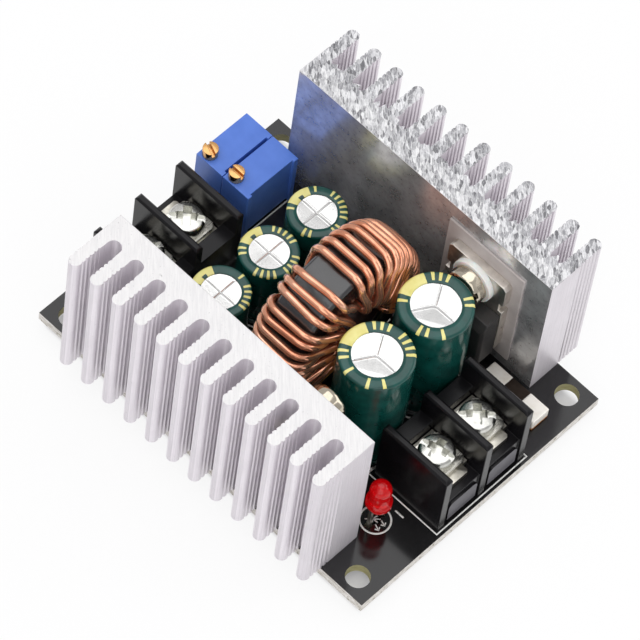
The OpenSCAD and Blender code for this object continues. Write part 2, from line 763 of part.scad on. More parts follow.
// Contact plates with a tapped hole, a chamfered tongue at the wire entry and a pin to the board
module terminal_contacts() {
    plate_x = terminal_back + terminal_clear;
    plate_l = terminal_screw_x + clamp_side / 2 - plate_x;
    plate_w = bay_w - 2 * terminal_clear;
    tongue_l = terminal_l - floor_recess - tongue_inset - plate_x - plate_l;
    color([0.8, 0.8, 0.76])
        for (bay = ["a", "b"]) translate([0, bay_y(bay), 0]) {
            translate([0, 0, terminal_floor]) difference() {
                linear_extrude(contact_t) {
                    translate([plate_x, -plate_w / 2]) square([plate_l, plate_w]);
                    translate([plate_x + plate_l, 0])
                        chamfered_square(2 * tongue_l, tongue_w, tongue_chamfer);
                }
                translate([terminal_screw_x, 0, -eps])
                    cylinder(d = terminal_screw_d + 2 * terminal_clear, h = contact_t + 2 * eps);
            }
            translate([contact_pin_x, 0, -board_t - lead_tail])
                linear_extrude(board_t + lead_tail + terminal_floor + eps)
                    square([contact_pin_w, contact_t], center = true);
        }
}

module input_contacts() { at_input() terminal_contacts(); }

module output_contacts() { at_output() terminal_contacts(); }

// Square clamp plate that rides under the head of a terminal screw
module clamp_plate(bay) {
    color([0.78, 0.78, 0.77])
        translate([terminal_screw_x, bay_y(bay), contact_z]) difference() {
            linear_extrude(clamp_t) chamfered_square(clamp_side, clamp_side, clamp_chamfer);
            translate([0, 0, -eps])
                cylinder(d = terminal_screw_d + 2 * terminal_clear, h = clamp_t + 2 * eps);
        }
}

module input_clamp_a() { at_input() clamp_plate("a"); }

module input_clamp_b() { at_input() clamp_plate("b"); }

module output_clamp_a() { at_output() clamp_plate("a"); }

module output_clamp_b() { at_output() clamp_plate("b"); }

module terminal_screw(bay) {
    color([0.82, 0.82, 0.82])
        translate([terminal_screw_x, bay_y(bay), contact_z + clamp_t])
            pan_screw(terminal_head_d, terminal_head_h, terminal_screw_d, terminal_screw_l);
}

module input_screw_a() { at_input() terminal_screw("a"); }

module input_screw_b() { at_input() terminal_screw("b"); }

module output_screw_a() { at_output() terminal_screw("a"); }

module output_screw_b() { at_output() terminal_screw("b"); }

// Trimmer body with corner feet, a shallow recess on its open long side and the bore of the stem
module trimmer_body(k) {
    color([0.2, 0.3, 0.75])
        translate([trimmer_xs[k], trimmer_y, board_t]) difference() {
            cube([trimmer_w, trimmer_l, trimmer_h]);
            translate([trimmer_w - trimmer_recess, trimmer_post, -eps])
                cube([trimmer_recess + eps, trimmer_l - 2 * trimmer_post, trimmer_h + 2 * eps]);
            translate([-eps, trimmer_post, -eps])
                cube([trimmer_w + 2 * eps, trimmer_l - 2 * trimmer_post, trimmer_foot + eps]);
            translate([trimmer_post, -eps, -eps])
                cube([trimmer_w - 2 * trimmer_post, trimmer_l + 2 * eps, trimmer_foot + eps]);
            translate([trimmer_screw_inset, trimmer_screw_inset, trimmer_h - trimmer_stem_l - trimmer_clear])
                cylinder(d = trimmer_stem_d + 2 * trimmer_clear, h = trimmer_stem_l + trimmer_clear + eps);
        }
}

module voltage_trimmer_body() { trimmer_body(1); }

module current_trimmer_body() { trimmer_body(0); }

module voltage_trimmer_pins() {
    color([0.8, 0.8, 0.78]) straight_leads(trimmer_leads(1), trimmer_foot);
}

module current_trimmer_pins() {
    color([0.8, 0.8, 0.78]) straight_leads(trimmer_leads(0), trimmer_foot);
}

// Adjusting screw with a slotted head on a thin stem
module trimmer_screw(k) {
    color([0.85, 0.65, 0.3])
        translate([trimmer_xs[k] + trimmer_screw_inset, trimmer_y + trimmer_screw_inset, board_t + trimmer_h])
            difference() {
                union() {
                    translate([0, 0, trimmer_clear]) cylinder(d = trimmer_head_d, h = trimmer_head_h);
                    translate([0, 0, -trimmer_stem_l])
                        cylinder(d = trimmer_stem_d, h = trimmer_stem_l + 2 * trimmer_clear);
                }
                translate([
                    -trimmer_head_d, -trimmer_slot_w / 2, trimmer_clear + trimmer_head_h - trimmer_slot_depth
                ]) cube([2 * trimmer_head_d, trimmer_slot_w, trimmer_head_h]);
            }
}

module voltage_trimmer_screw() { trimmer_screw(1); }

module current_trimmer_screw() { trimmer_screw(0); }

// Can with a rolled groove over its bung and scored lines on its top
module capacitor_can(place, d, h, score_arms) {
    r = d / 2;
    color([0.8, 0.8, 0.81])
        translate([place.x, place.y, board_t + cap_seat + sleeve_t]) difference() {
            rotate_extrude() difference() {
                polygon([[0, 0], [r, 0], [r, h - can_edge], [r - can_edge, h], [0, h]]);
                translate([r + can_groove, can_groove_z]) circle(r = 2 * can_groove);
                square([r - can_rim, bung_t]);
            }
            for (k = [0 : score_arms - 1])
                rotate([0, 0, k * 360 / score_arms])
                    translate([0, -score_w / 2, h - score_depth])
                        cube([r * sleeve_open - score_margin, score_w, score_depth + eps]);
        }
}

module small_capacitor_a() { capacitor_can(small_caps[0], small_cap_d, small_cap_h, 4); }

module small_capacitor_b() { capacitor_can(small_caps[1], small_cap_d, small_cap_h, 4); }

module small_capacitor_c() { capacitor_can(small_caps[2], small_cap_d, small_cap_h, 4); }

module big_capacitor_a() { capacitor_can(big_caps[0], big_cap_d, big_cap_h, 3); }

module big_capacitor_b() { capacitor_can(big_caps[1], big_cap_d, big_cap_h, 3); }

// Shrunk sleeve: a thin tube with a lip over the can's top and a narrow one under its bottom
module sleeve(place, d, h) {
    r = d / 2;
    open_r = sleeve_open * r;
    top = h + sleeve_t;
    color([0.04, 0.32, 0.27])
        translate([place.x, place.y, board_t + cap_seat])
            rotate_extrude()
                polygon([
                    [r - can_rim, 0], [r + sleeve_t, 0], [r + sleeve_t, top - can_edge],
                    [r + sleeve_t - can_edge, top + sleeve_t], [open_r, top + sleeve_t], [open_r, top],
                    [r - can_edge, top], [r, top - can_edge], [r, sleeve_t], [r - can_rim, sleeve_t]
                ]);
}

module small_sleeve_a() { sleeve(small_caps[0], small_cap_d, small_cap_h); }

module small_sleeve_b() { sleeve(small_caps[1], small_cap_d, small_cap_h); }

module small_sleeve_c() { sleeve(small_caps[2], small_cap_d, small_cap_h); }

module big_sleeve_a() { sleeve(big_caps[0], big_cap_d, big_cap_h); }

module big_sleeve_b() { sleeve(big_caps[1], big_cap_d, big_cap_h); }

// Rubber bungs in the open ends of the cans, bored for the leads
module bung(place, d, pitch) {
    translate([place.x, place.y, board_t + cap_seat + sleeve_t])
        linear_extrude(bung_t) difference() {
            circle(r = d / 2 - can_rim);
            for (s = [-1, 1])
                translate([s * pitch / 2, 0]) circle(d = cap_lead_d);
        }
}

module capacitor_bungs() {
    color([0.15, 0.15, 0.15]) {
        for (c = small_caps) bung(c, small_cap_d, small_cap_lead);
        for (c = big_caps) bung(c, big_cap_d, big_cap_lead);
    }
}

module capacitor_leads() {
    color([0.82, 0.82, 0.8])
        straight_leads(concat(small_cap_leads, big_cap_leads), cap_seat + sleeve_t + bung_t);
}

// Ring core standing on edge, its axis along X
module inductor_core() {
    color([0.16, 0.16, 0.17])
        translate([ring_x, middle_y, ring_z]) rotate([0, 90, 0])
            rotate_extrude($fn = 96)
                translate([(core_od + core_id) / 4, 0])
                    chamfered_square((core_od - core_id) / 2, core_t, core_chamfer);
}

// Point of the winding from its distance to the ring's axis, place along the axis and angle from the top
function ring_point(radius, along, angle) =
    [ring_x + along, middle_y + radius * sin(angle), ring_z + radius * cos(angle)];

// Direction along the ring at an angle from the top
function ring_way(angle) = [0, cos(angle), -sin(angle)];

// Angle of the strand inside the ring before turn k
function inner_angle(k) = (turn_angles[k - 1] + turn_angles[k]) / 2;

// Reach of the strand before turn k past the first layer, inside the ring and beside it
function layer(k) = (k % 2) * wire_layer;

// Quarter bend about a centre, from one direction in the section of the ring to the next one
function bend(radius, along, from, angle) = [
    for (j = [0 : arc_steps]) let (a = from + j * 90 / arc_steps)
        [ring_point(radius + wire_bend * cos(a), along + wire_bend * sin(a), angle), ring_way(angle)]
];

// Bends where the strand before turn k leaves the ring on the -X side, or enters it on the +X side
function inner_bend(k, side) = bend(
    wind_inner - layer(k) + wire_bend, side * (wind_half + layer(k) - wire_bend), side < 0 ? 180 : 90,
    inner_angle(k)
);

// Bends where turn k climbs on to the rim on the -X side, or leaves it on the +X side
function outer_bend(k, side) = bend(
    wind_outer - wire_bend, side * (wind_half - wire_bend), side < 0 ? 270 : 0, turn_angles[k]
);

// Tail from its trimmed end under the board up to the rim, on one side of the ring
function tail(k, side) = let (foot = ring_point(wind_outer, side * wind_half, turn_angles[k])) concat(
    [for (z = [-lead_tail, board_t]) [[foot.x, foot.y, z], ring_way(turn_angles[k])]],
    [for (j = [0 : arc_steps]) let (a = j * 90 / arc_steps)
        [foot + wire_bend * [-side * (1 - cos(a)), 0, sin(a) - 1], ring_way(turn_angles[k])]]
);

function reversed(list) = [for (i = [len(list) - 1 : -1 : 0]) list[i]];

// The whole wire as stations of [point, direction along the ring]
function wire_path() = concat(
    tail(0, -1),
    [for (k = [0 : turns - 2]) each concat(
        outer_bend(k, 1), inner_bend(k + 1, 1), inner_bend(k + 1, -1), outer_bend(k + 1, -1)
    )],
    reversed(tail(turns - 1, 1))
);

// Tube swept along stations, each ring of sides set square to the path
module swept_wire(path, d, sides) {
    last = len(path) - 1;
    points = [for (i = [0 : last]) let (
        ahead = path[min(i + 1, last)][0] - path[max(i - 1, 0)][0],
        way = ahead / norm(ahead),
        across = path[i][1] - (path[i][1] * way) * way,
        u = across / norm(across),
        v = cross(way, u)
    ) for (j = [0 : sides - 1])
        path[i][0] + d / 2 * (cos(j * 360 / sides) * u + sin(j * 360 / sides) * v)];
    walls = [for (i = [0 : last - 1]) for (j = [0 : sides - 1]) let (n = (j + 1) % sides)
        [i * sides + j, (i + 1) * sides + j, (i + 1) * sides + n, i * sides + n]];
    polyhedron(points, concat(
        walls, [[for (j = [0 : sides - 1]) j]], [[for (j = [sides - 1 : -1 : 0]) last * sides + j]]
    ), convexity = 20);
}

module inductor_winding() {
    color([0.78, 0.42, 0.25]) swept_wire(wire_path(), wire_d, wire_sides);
}

module lamp_body() {
    color([0.85, 0.08, 0.1])
        translate([lamp_x, lamp_y, board_t + led_lift]) {
            cylinder(d = led_flange_d, h = led_flange_h);
            cylinder(d = led_d, h = led_h - led_d / 2);
            translate([0, 0, led_h - led_d / 2]) sphere(d = led_d);
        }
}

module lamp_leads() {
    color([0.8, 0.8, 0.78]) straight_leads(lamp_lead_places, led_lift);
}

module shunt_ends() {
    color([0.86, 0.84, 0.78])
        translate([shunt_x, shunt_y, board_t])
            for (x = [0, shunt_l - shunt_end])
                translate([x, 0, 0]) cube([shunt_end, shunt_w, shunt_h]);
}

// Resistive strip welded between the ends, raised off the board and trimmed by a notch
module shunt_strip() {
    strip_l = shunt_l - 2 * shunt_end;
    color([0.2, 0.18, 0.16])
        translate([shunt_x + shunt_end, shunt_y, board_t + shunt_h - shunt_strip_t])
            linear_extrude(shunt_strip_t) difference() {
                square([strip_l, shunt_w]);
                translate([(strip_l - shunt_notch) / 2, -eps]) square([shunt_notch, shunt_notch + eps]);
            }
}

// Chip body with drafted long sides, long side along X
module chip_body(place, l, w) {
    h = chip_h - chip_standoff;
    x = w / 2;
    color([0.1, 0.1, 0.1])
        translate([place.x - l / 2, place.y, board_t + chip_standoff])
            rotate([90, 0, 90]) linear_extrude(l)
                polygon([
                    [chip_draft - x, 0], [x - chip_draft, 0], [x, h / 2],
                    [x - chip_draft, h], [chip_draft - x, h], [-x, h / 2]
                ]);
}

module controller_chip() { chip_body([ring_x, controller_y], chip_l, chip_w); }

module amplifier_chip() { chip_body([ring_x, amplifier_y], chip_l, chip_w); }

module regulator_chip() { chip_body([regulator_x, regulator_y], regulator_l, regulator_w); }

// Row of bent feet along one side of a chip, starting on the middle of its side wall
module foot_row(place, w, side, count, pitch) {
    z = (chip_h + chip_standoff) / 2;
    t = chip_foot_t;
    for (k = [0 : count - 1])
        translate([place.x + (k - (count - 1) / 2) * pitch - chip_foot_w / 2, place.y, board_t])
            rotate([90, 0, 90]) linear_extrude(chip_foot_w)
                mirror([side < 0 ? 1 : 0, 0])
                    translate([w / 2, 0])
                        polygon([
                            [0, z], [chip_knee, z], [chip_knee, 0], [chip_foot, 0],
                            [chip_foot, t], [chip_knee + t, t], [chip_knee + t, z + t], [0, z + t]
                        ]);
}

module chip_feet() {
    color([0.8, 0.8, 0.78]) {
        for (y = [controller_y, amplifier_y]) for (side = [-1, 1])
            foot_row([ring_x, y], chip_w, side, chip_side_feet, chip_pitch);
        foot_row([regulator_x, regulator_y], regulator_w, -1, regulator_feet, regulator_l / regulator_feet);
        foot_row([regulator_x, regulator_y], regulator_w, 1, 1, 0);
    }
}

// Solder cones on the underside, one round each trimmed lead
module solder_joints() {
    h = lead_tail * solder_rise;
    color([0.75, 0.75, 0.76])
        for (lead = all_leads) difference() {
            translate([lead.x, lead.y, -h])
                cylinder(d1 = lead_hole_d(lead), d2 = lead_hole_d(lead) + 2 * solder_ring, h = h);
            translate([0, 0, -lead_tail]) linear_extrude(2 * lead_tail) lead_section(lead);
        }
}

circuit_board();
front_heatsink();
rear_heatsink();
heatsink_pins();
front_device_case();
front_device_leadframe();
rear_device_case();
rear_device_leadframe();
front_insulator();
rear_insulator();
front_bushing();
rear_bushing();
front_device_screw();
rear_device_screw();
input_terminal_housing();
output_terminal_housing();
input_contacts();
output_contacts();
input_clamp_a();
input_clamp_b();
output_clamp_a();
output_clamp_b();
input_screw_a();
input_screw_b();
output_screw_a();
output_screw_b();
voltage_trimmer_body();
current_trimmer_body();
voltage_trimmer_pins();
current_trimmer_pins();
voltage_trimmer_screw();
current_trimmer_screw();
small_capacitor_a();
small_capacitor_b();
small_capacitor_c();
big_capacitor_a();
big_capacitor_b();
small_sleeve_a();
small_sleeve_b();
small_sleeve_c();
big_sleeve_a();
big_sleeve_b();
capacitor_bungs();
capacitor_leads();
inductor_core();
inductor_winding();
lamp_body();
lamp_leads();
shunt_ends();
shunt_strip();
controller_chip();
amplifier_chip();
regulator_chip();
chip_feet();
solder_joints();
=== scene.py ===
import json
import random
from math import cos, dist, exp, pi, radians, sin

import bmesh
import bpy
from mathutils import Matrix, Vector, noise

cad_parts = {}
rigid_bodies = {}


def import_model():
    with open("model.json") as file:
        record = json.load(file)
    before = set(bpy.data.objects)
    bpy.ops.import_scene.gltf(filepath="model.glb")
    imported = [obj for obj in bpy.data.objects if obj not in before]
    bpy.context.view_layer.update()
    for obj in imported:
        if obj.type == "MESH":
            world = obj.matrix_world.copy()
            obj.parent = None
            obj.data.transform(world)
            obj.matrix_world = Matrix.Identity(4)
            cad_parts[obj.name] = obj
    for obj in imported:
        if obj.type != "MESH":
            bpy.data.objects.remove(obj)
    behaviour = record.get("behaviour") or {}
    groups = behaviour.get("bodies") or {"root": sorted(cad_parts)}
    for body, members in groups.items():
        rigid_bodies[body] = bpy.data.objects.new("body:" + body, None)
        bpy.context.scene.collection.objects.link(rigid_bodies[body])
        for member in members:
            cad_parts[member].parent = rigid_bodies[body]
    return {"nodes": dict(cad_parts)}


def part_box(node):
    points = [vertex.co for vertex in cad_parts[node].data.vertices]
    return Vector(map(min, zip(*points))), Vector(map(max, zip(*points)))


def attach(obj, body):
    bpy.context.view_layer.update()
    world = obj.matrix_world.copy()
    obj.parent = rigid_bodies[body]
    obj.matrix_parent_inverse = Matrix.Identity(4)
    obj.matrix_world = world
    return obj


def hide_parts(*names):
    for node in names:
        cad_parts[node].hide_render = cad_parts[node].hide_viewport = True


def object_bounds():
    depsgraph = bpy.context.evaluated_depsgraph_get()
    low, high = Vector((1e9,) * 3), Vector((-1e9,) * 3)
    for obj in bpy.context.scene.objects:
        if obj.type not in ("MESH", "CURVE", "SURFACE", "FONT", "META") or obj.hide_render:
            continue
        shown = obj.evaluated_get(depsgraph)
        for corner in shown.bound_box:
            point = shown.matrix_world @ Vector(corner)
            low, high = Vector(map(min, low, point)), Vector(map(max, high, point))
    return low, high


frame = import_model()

cad_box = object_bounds()
MM = 0.001
ROOT = "module"
CORNERS = ((-1, -1), (1, -1), (1, 1), (-1, 1))

# Sizes in millimetres that the looks share with the solids
BOARD_TOP = 1.6
WIRE_D = 1.1
WIRE_SLACK = 0.15
WIRE_LAYER = 1.012
CORE_OD, CORE_ID, CORE_T = 22.6, 13.0, 6.8
FRONT_FACE, REAR_FACE = -15.9, 17.1
SINK_BASE, FIRST_SLOT, SLOT_W, SLOT_PITCH, SLOTS = 3.1, 1.85, 2.15, 4.0, 11
HEAD_H, SHANK_D, SHANK_L, THREAD_PITCH = 2.2, 3.0, 6.0, 0.5
SMALL_CAN, BIG_CAN = (8.0, 12.0), (10.0, 20.0)

# The winding's groups: first angle in degrees, number of turns, degrees from turn to turn
TURN_GROUPS = ((-119, 9, 8.5), (-40, 3, 8.5), (-3, 3, 8.5), (26, 12, 7.2))

# The saw that cut the heatsinks ran at this angle to X, in degrees
SAW_TURN = 45


def middle(node):
    """Centre of a CAD node's box, in millimetres."""
    low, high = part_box(node)
    return (low + high) / 2 / MM


def polar(radius, degrees):
    """The two parts of a radius at an angle."""
    a = radians(degrees)
    return radius * cos(a), radius * sin(a)


def lin(red, green, blue, share=1.0):
    """Linear colour of an sRGB colour written from 0 to 255, or a share of it."""
    parts = (red / 255, green / 255, blue / 255)
    return tuple(share * (c / 12.92 if c < 0.04045 else ((c + 0.055) / 1.055) ** 2.4) for c in parts)


def placed(name, data):
    """A new object in the scene."""
    made = bpy.data.objects.new(name, data)
    bpy.context.scene.collection.objects.link(made)
    return made


def feed(tree, socket, value):
    """Links a socket to another one, or sets its plain value."""
    if isinstance(value, bpy.types.NodeSocket):
        tree.links.new(value, socket)
    else:
        socket.default_value = value


def add_node(tree, kind, links=None, **settings):
    """A new node with its settings made and its inputs fed."""
    node = tree.nodes.new(kind)
    for label, value in settings.items():
        setattr(node, label, value)
    for label, value in (links or {}).items():
        feed(tree, node.inputs[label], value)
    return node


# Materials


class Finish:
    """One material: plain values sit on the shader's own sockets, patterns are linked in after."""

    def __init__(self, name, colour, roughness, metallic=0.0, **values):
        self.material = bpy.data.materials.new(name)
        self.material.use_nodes = True
        self.tree = self.material.node_tree
        self.feed("Base Color", (*lin(*colour), 1.0))
        self.feed("Roughness", roughness)
        self.feed("Metallic", metallic)
        for label, value in values.items():
            self.feed(label.replace("_", " "), value)

    def feed(self, label, value):
        feed(self.tree, self.tree.nodes["Principled BSDF"].inputs[label], value)

    def add(self, kind, links=None, **settings):
        return add_node(self.tree, "ShaderNode" + kind, links, **settings).outputs

    def place(self, scale, turn):
        """Object coordinates turned about Z, then stretched."""
        coords = self.add("TexCoord")["Object"]
        if turn:
            links = {"Vector": coords, "Angle": radians(turn)}
            coords = self.add("VectorRotate", links, rotation_type="Z_AXIS")["Vector"]
        return self.add("Mapping", {"Vector": coords, "Scale": scale})["Vector"]

    def axis(self, label):
        """The object coordinate along one axis."""
        return self.add("SeparateXYZ", {"Vector": self.add("TexCoord")["Object"]})[label]

    def noise(self, scale, detail, roughness=0.55, turn=0.0):
        """Noise of one scale, or of one scale for each axis."""
        where = self.place(scale if isinstance(scale, tuple) else (scale, scale, scale), turn)
        links = {"Vector": where, "Scale": 1.0, "Detail": detail, "Roughness": roughness}
        return self.add("TexNoise", links)["Fac"]

    def ramp(self, value, *stops):
        node = add_node(self.tree, "ShaderNodeValToRGB", {"Fac": value})
        elements = node.color_ramp.elements
        while len(elements) < len(stops):
            elements.new(0.5)
        for element, (position, colour) in zip(elements, stops):
            element.position = position
            shown = lin(*colour) if isinstance(colour, tuple) else (colour, colour, colour)
            element.color = (*shown, 1.0)
        return node.outputs["Color"]

    def blend(self, factor, first, second):
        second = (*lin(*second), 1.0) if isinstance(second, tuple) else second
        return self.add("Mix", {0: factor, 6: first, 7: second}, data_type="RGBA")[2]

    def calc(self, operation, first, second=0.0, third=0.0):
        return self.add("Math", {0: first, 1: second, 2: third}, operation=operation)[0]

    def every(self, first, *others):
        """1 where all of the masks are 1."""
        for mask in others:
            first = self.calc("MULTIPLY", first, mask)
        return first

    def spread(self, value, low, high):
        """A value from 0 to 1 mapped to the range from low to high."""
        return self.calc("MULTIPLY_ADD", value, high - low, low)

    def rise(self, value, low, high):
        """0 up to low, 1 from high on."""
        return self.add("MapRange", {"Value": value, "From Min": low, "From Max": high})["Result"]

    def relief(self, height, depth, strength):
        bump = self.add("Bump", {"Height": height, "Distance": depth, "Strength": strength})
        self.feed("Normal", bump["Normal"])


def dressed(name, colour, roughness, noises, tones, *marks, gloss=None, dents=None, **values):
    """A material from named noises.

    Tones are a noise and its colour stops. A mark is a noise, where it is full, where it ends, its strength
    and its colour. Gloss is a noise and a range of roughness. Dents are a noise, a depth and a strength.
    """
    f = Finish(name, colour, roughness, **values)
    field = {label: f.noise(*settings) for label, settings in noises.items()}
    shown = f.ramp(field[tones[0]], *tones[1:])
    for label, full, end, strength, mark in marks:
        shown = f.blend(f.ramp(field[label], (full, strength), (end, 0.0)), shown, mark)
    f.feed("Base Color", shown)
    if gloss:
        f.feed("Roughness", f.spread(field[gloss[0]], *gloss[1:]))
    if dents:
        f.relief(field[dents[0]], *dents[1:])
    return f.material


def drawn_aluminium(name, lift):
    """The skin of a drawn extrusion; the lift makes all its tones lighter, which paints light onto the slot
    walls.
    """
    tones = (220, 207, 221, 233, 178)
    base, dark, plain, light, speck = ((t + lift, t - 5 + lift, t + lift) for t in tones)
    return dressed(
        name, base, 0.45, {"lines": ((9000, 9000, 120), 3), "cloud": (260, 4), "specks": (3800, 3)},
        ("lines", (0.25, dark), (0.5, plain), (0.8, light)),
        ("cloud", 0.35, 0.6, 0.3, dark), ("specks", 0.26, 0.36, 0.5, speck),
        gloss=("lines", 0.3, 0.46), dents=("lines", 6e-6, 0.5), metallic=0.32,
    )


def torn_aluminium():
    """Torn by a blunt saw: shreds along the saw's way with painted highlights on their edges, duller on the
    fins.
    """
    f = Finish("torn_aluminium", (205, 205, 205), 0.35, 0.7)
    along = f.place((950, 2700, 950), SAW_TURN)
    warp = f.add("TexNoise", {"Vector": along, "Scale": 0.9, "Detail": 4.0})["Color"]
    bent = f.add("VectorMath", {0: along, 1: warp}, operation="ADD")["Vector"]
    # Per-facet tone: partly the metal's own, partly a painted glint of facets tilted to the light.
    facets = f.add("TexVoronoi", {"Vector": bent, "Scale": 1.0})["Color"]
    highlight_rims = f.add("TexVoronoi", {"Vector": bent, "Scale": 1.0}, feature="DISTANCE_TO_EDGE")["Distance"]
    drag_lines = f.noise((1300, 5200, 1300), 4, 0.68, SAW_TURN)
    drag = f.noise((130, 620, 130), 2, turn=SAW_TURN)
    mixed = f.calc("MULTIPLY_ADD", drag_lines, 0.75, f.calc("MULTIPLY", facets, 0.5))
    bright = f.ramp(mixed, (0.42, (114, 114, 117)), (0.61, (182, 182, 184)), (0.84, (230, 230, 230)))
    dull = f.ramp(mixed, (0.42, (110, 110, 113)), (0.63, (174, 174, 177)), (0.85, (228, 228, 229)))
    fins = f.rise(f.axis("Y"), (REAR_FACE + 0.5) * MM, (REAR_FACE + 5.1) * MM)
    tops = f.calc("ADD", fins, f.spread(drag, -0.75, 0.75))
    colour = f.blend(f.ramp(tops, (0.3, 0.0), (0.6, 1.0)), bright, dull)
    # Painted highlights along the edges of the shreds.
    f.feed("Base Color", f.blend(f.ramp(highlight_rims, (0.02, 0.4), (0.07, 0.0)), colour, (234, 234, 234)))
    f.feed("Roughness", f.spread(drag_lines, 0.22, 0.46))
    f.relief(mixed, 8e-5, 0.7)
    return f.material


def zinc_plate(name, colour, roughness):
    return dressed(
        name, colour, roughness, {"bloom": (700, 4), "scuff": ((6000, 1500, 1500), 2)},
        ("bloom", (0.28, (*colour, 0.72)), (0.62, colour)),
        gloss=("scuff", roughness * 0.6, roughness * 1.6), dents=("scuff", 2e-6, 0.5), metallic=1.0,
    )


def tin(name, colour, roughness, depth):
    return dressed(
        name, colour, roughness, {"flow": (900, 4)}, ("flow", (0.28, (*colour, 0.66)), (0.62, colour)),
        gloss=("flow", roughness * 1.5, roughness * 0.7), dents=("flow", depth, 0.6), metallic=1.0,
    )


def epoxy_black(name, dark, light, roughness):
    return dressed(
        name, dark, roughness, {"grit": (4800, 3), "cloud": (420, 4)}, ("cloud", (0.3, dark), (0.7, light)),
        gloss=("grit", roughness - 0.1, roughness + 0.12), dents=("grit", 1.2e-5, 0.7),
    )


def sleeve_print(name, wall_v, lip_v, seed):
    """Shrunk sleeve: u runs round it and v in millimetres up the wall and over the lip."""
    stripe_half, dash_half, ticks_from = 27.0, 7.0, 36.0
    f = Finish(name, (12, 68, 62), 0.2)
    parts = f.add("SeparateXYZ", {"Vector": f.add("TexCoord")["UV"]})
    angle, up = f.calc("MULTIPLY", parts["X"], 360.0), parts["Y"]
    away = f.calc("ABSOLUTE", f.calc("SUBTRACT", angle, 180.0))
    stripe = f.calc("LESS_THAN", away, stripe_half)
    dash = f.every(
        f.calc("LESS_THAN", away, dash_half),
        f.calc("LESS_THAN", f.calc("FRACT", f.calc("MULTIPLY", up, 0.22)), 0.4), stripe,
    )
    cell = f.calc("MULTIPLY_ADD", angle, 0.075, seed)
    spin = f.add("TexWhiteNoise", {"W": f.calc("FLOOR", cell)}, noise_dimensions="1D")["Value"]
    inside = f.calc("FRACT", cell)
    tick = f.every(
        f.calc("GREATER_THAN", inside, 0.22), f.calc("LESS_THAN", inside, 0.64),
        f.calc("GREATER_THAN", spin, 0.4), f.calc("GREATER_THAN", away, ticks_from),
        f.calc("GREATER_THAN", up, f.calc("MULTIPLY_ADD", spin, 0.9, wall_v - 0.5)),
        f.calc("LESS_THAN", up, lip_v - 0.35),
    )
    cloud = f.noise(420, 4)
    green = f.ramp(cloud, (0.3, (8, 57, 51)), (0.7, (17, 79, 72)))
    cream = f.ramp(cloud, (0.3, (214, 204, 112)), (0.7, (232, 226, 150)))
    colour = f.blend(dash, f.blend(stripe, green, cream), (12, 60, 54))
    f.feed("Base Color", f.blend(tick, colour, cream))
    f.feed("Roughness", f.spread(cloud, 0.1, 0.22))
    f.relief(f.noise(620, 2), 4e-5, 0.4)
    return f.material


def core_coat():
    f = Finish("core_coat", (22, 22, 24), 0.2, Specular_IOR_Level=1.0)
    pores, waves = f.noise(2800, 4), f.noise(260, 2)
    f.feed("Base Color", f.ramp(waves, (0.3, (16, 16, 18)), (0.7, (34, 34, 37))))
    f.feed("Roughness", f.spread(pores, 0.14, 0.3))
    f.relief(f.calc("MULTIPLY_ADD", pores, 0.04, waves), 3e-4, 0.8)
    return f.material


def shunt_cap():
    """Tinned end of the shunt, with a copper foot."""
    foot = 0.45
    f = Finish("shunt_cap", (248, 243, 233), 0.4)
    cloud = f.noise(700, 4)
    colour = f.ramp(cloud, (0.28, (234, 227, 214)), (0.6, (250, 246, 237)))
    copper = f.calc("LESS_THAN", f.axis("Z"), (BOARD_TOP + foot) * MM)
    f.feed("Base Color", f.blend(copper, colour, (196, 128, 62)))
    f.feed("Roughness", f.spread(cloud, 0.5, 0.3))
    f.relief(cloud, 1.5e-5, 0.5)
    return f.material


MASK = dressed(
    "solder_mask", (20, 20, 21), 0.12, {"grain": (2600, 2), "patches": (160, 4)},
    ("patches", (0.3, (15, 15, 16)), (0.75, (26, 25, 26))),
    gloss=("patches", 0.07, 0.2), dents=("grain", 1e-6, 0.5), Specular_IOR_Level=0.5,
)
EDGE = dressed(
    "board_edge", (216, 212, 205), 0.8, {"fibres": ((900, 900, 5200), 4), "chips": (1500, 3)},
    ("fibres", (0.3, (172, 166, 152)), (0.5, (214, 210, 203)), (0.72, (238, 236, 233))),
    ("chips", 0.3, 0.42, 1.0, (140, 132, 112)), dents=("fibres", 6e-5, 0.8),
)
DRILLED = dressed(
    "drilled_wall", (158, 152, 106), 0.6, {"rings": ((700, 700, 6500), 3)},
    ("rings", (0.3, (134, 128, 82)), (0.7, (186, 181, 136))), dents=("rings", 3e-5, 0.7),
)
DRAWN = drawn_aluminium("drawn_aluminium", 0)
# The slot walls: the same skin made lighter, painted light that lifts the shade deep inside the slots.
SLOT_WALL_PAINTED_LIGHT = drawn_aluminium("slot_aluminium_painted_light", 14)
SAWN = dressed(
    "sawn_aluminium", (224, 224, 223), 0.5,
    {"strokes": ((420, 4200, 420), 3, 0.55, SAW_TURN), "specks": (3200, 3), "pits": (620, 5, 0.7)},
    ("strokes", (0.25, (216, 215, 215)), (0.7, (230, 229, 228))),
    ("specks", 0.26, 0.36, 0.6, (176, 174, 174)), ("pits", 0.25, 0.3, 0.6, (128, 126, 126)),
    gloss=("specks", 0.42, 0.6), dents=("strokes", 2.5e-5, 0.4), metallic=0.6,
)
TORN = torn_aluminium()
ROLLED = dressed(
    "rolled_face", (206, 206, 208), 0.28,
    {"haze": (330, 5, 0.62), "lines": ((7000, 7000, 140), 2), "grime": (1700, 4)},
    ("haze", (0.3, (176, 175, 176)), (0.5, (210, 209, 210)), (0.72, (232, 231, 232))),
    ("grime", 0.3, 0.45, 0.45, (134, 132, 130)),
    gloss=("haze", 0.34, 0.14), dents=("lines", 3e-6, 0.5), metallic=0.7,
)
BLACK = dressed(
    "moulded_black", (13, 13, 15), 0.24, {"skin": (5200, 2), "swirl": (420, 4)},
    ("swirl", (0.3, (11, 10, 12)), (0.7, (19, 18, 21))),
    gloss=("swirl", 0.2, 0.3), dents=("skin", 3e-6, 0.5), Specular_IOR_Level=0.26,
)
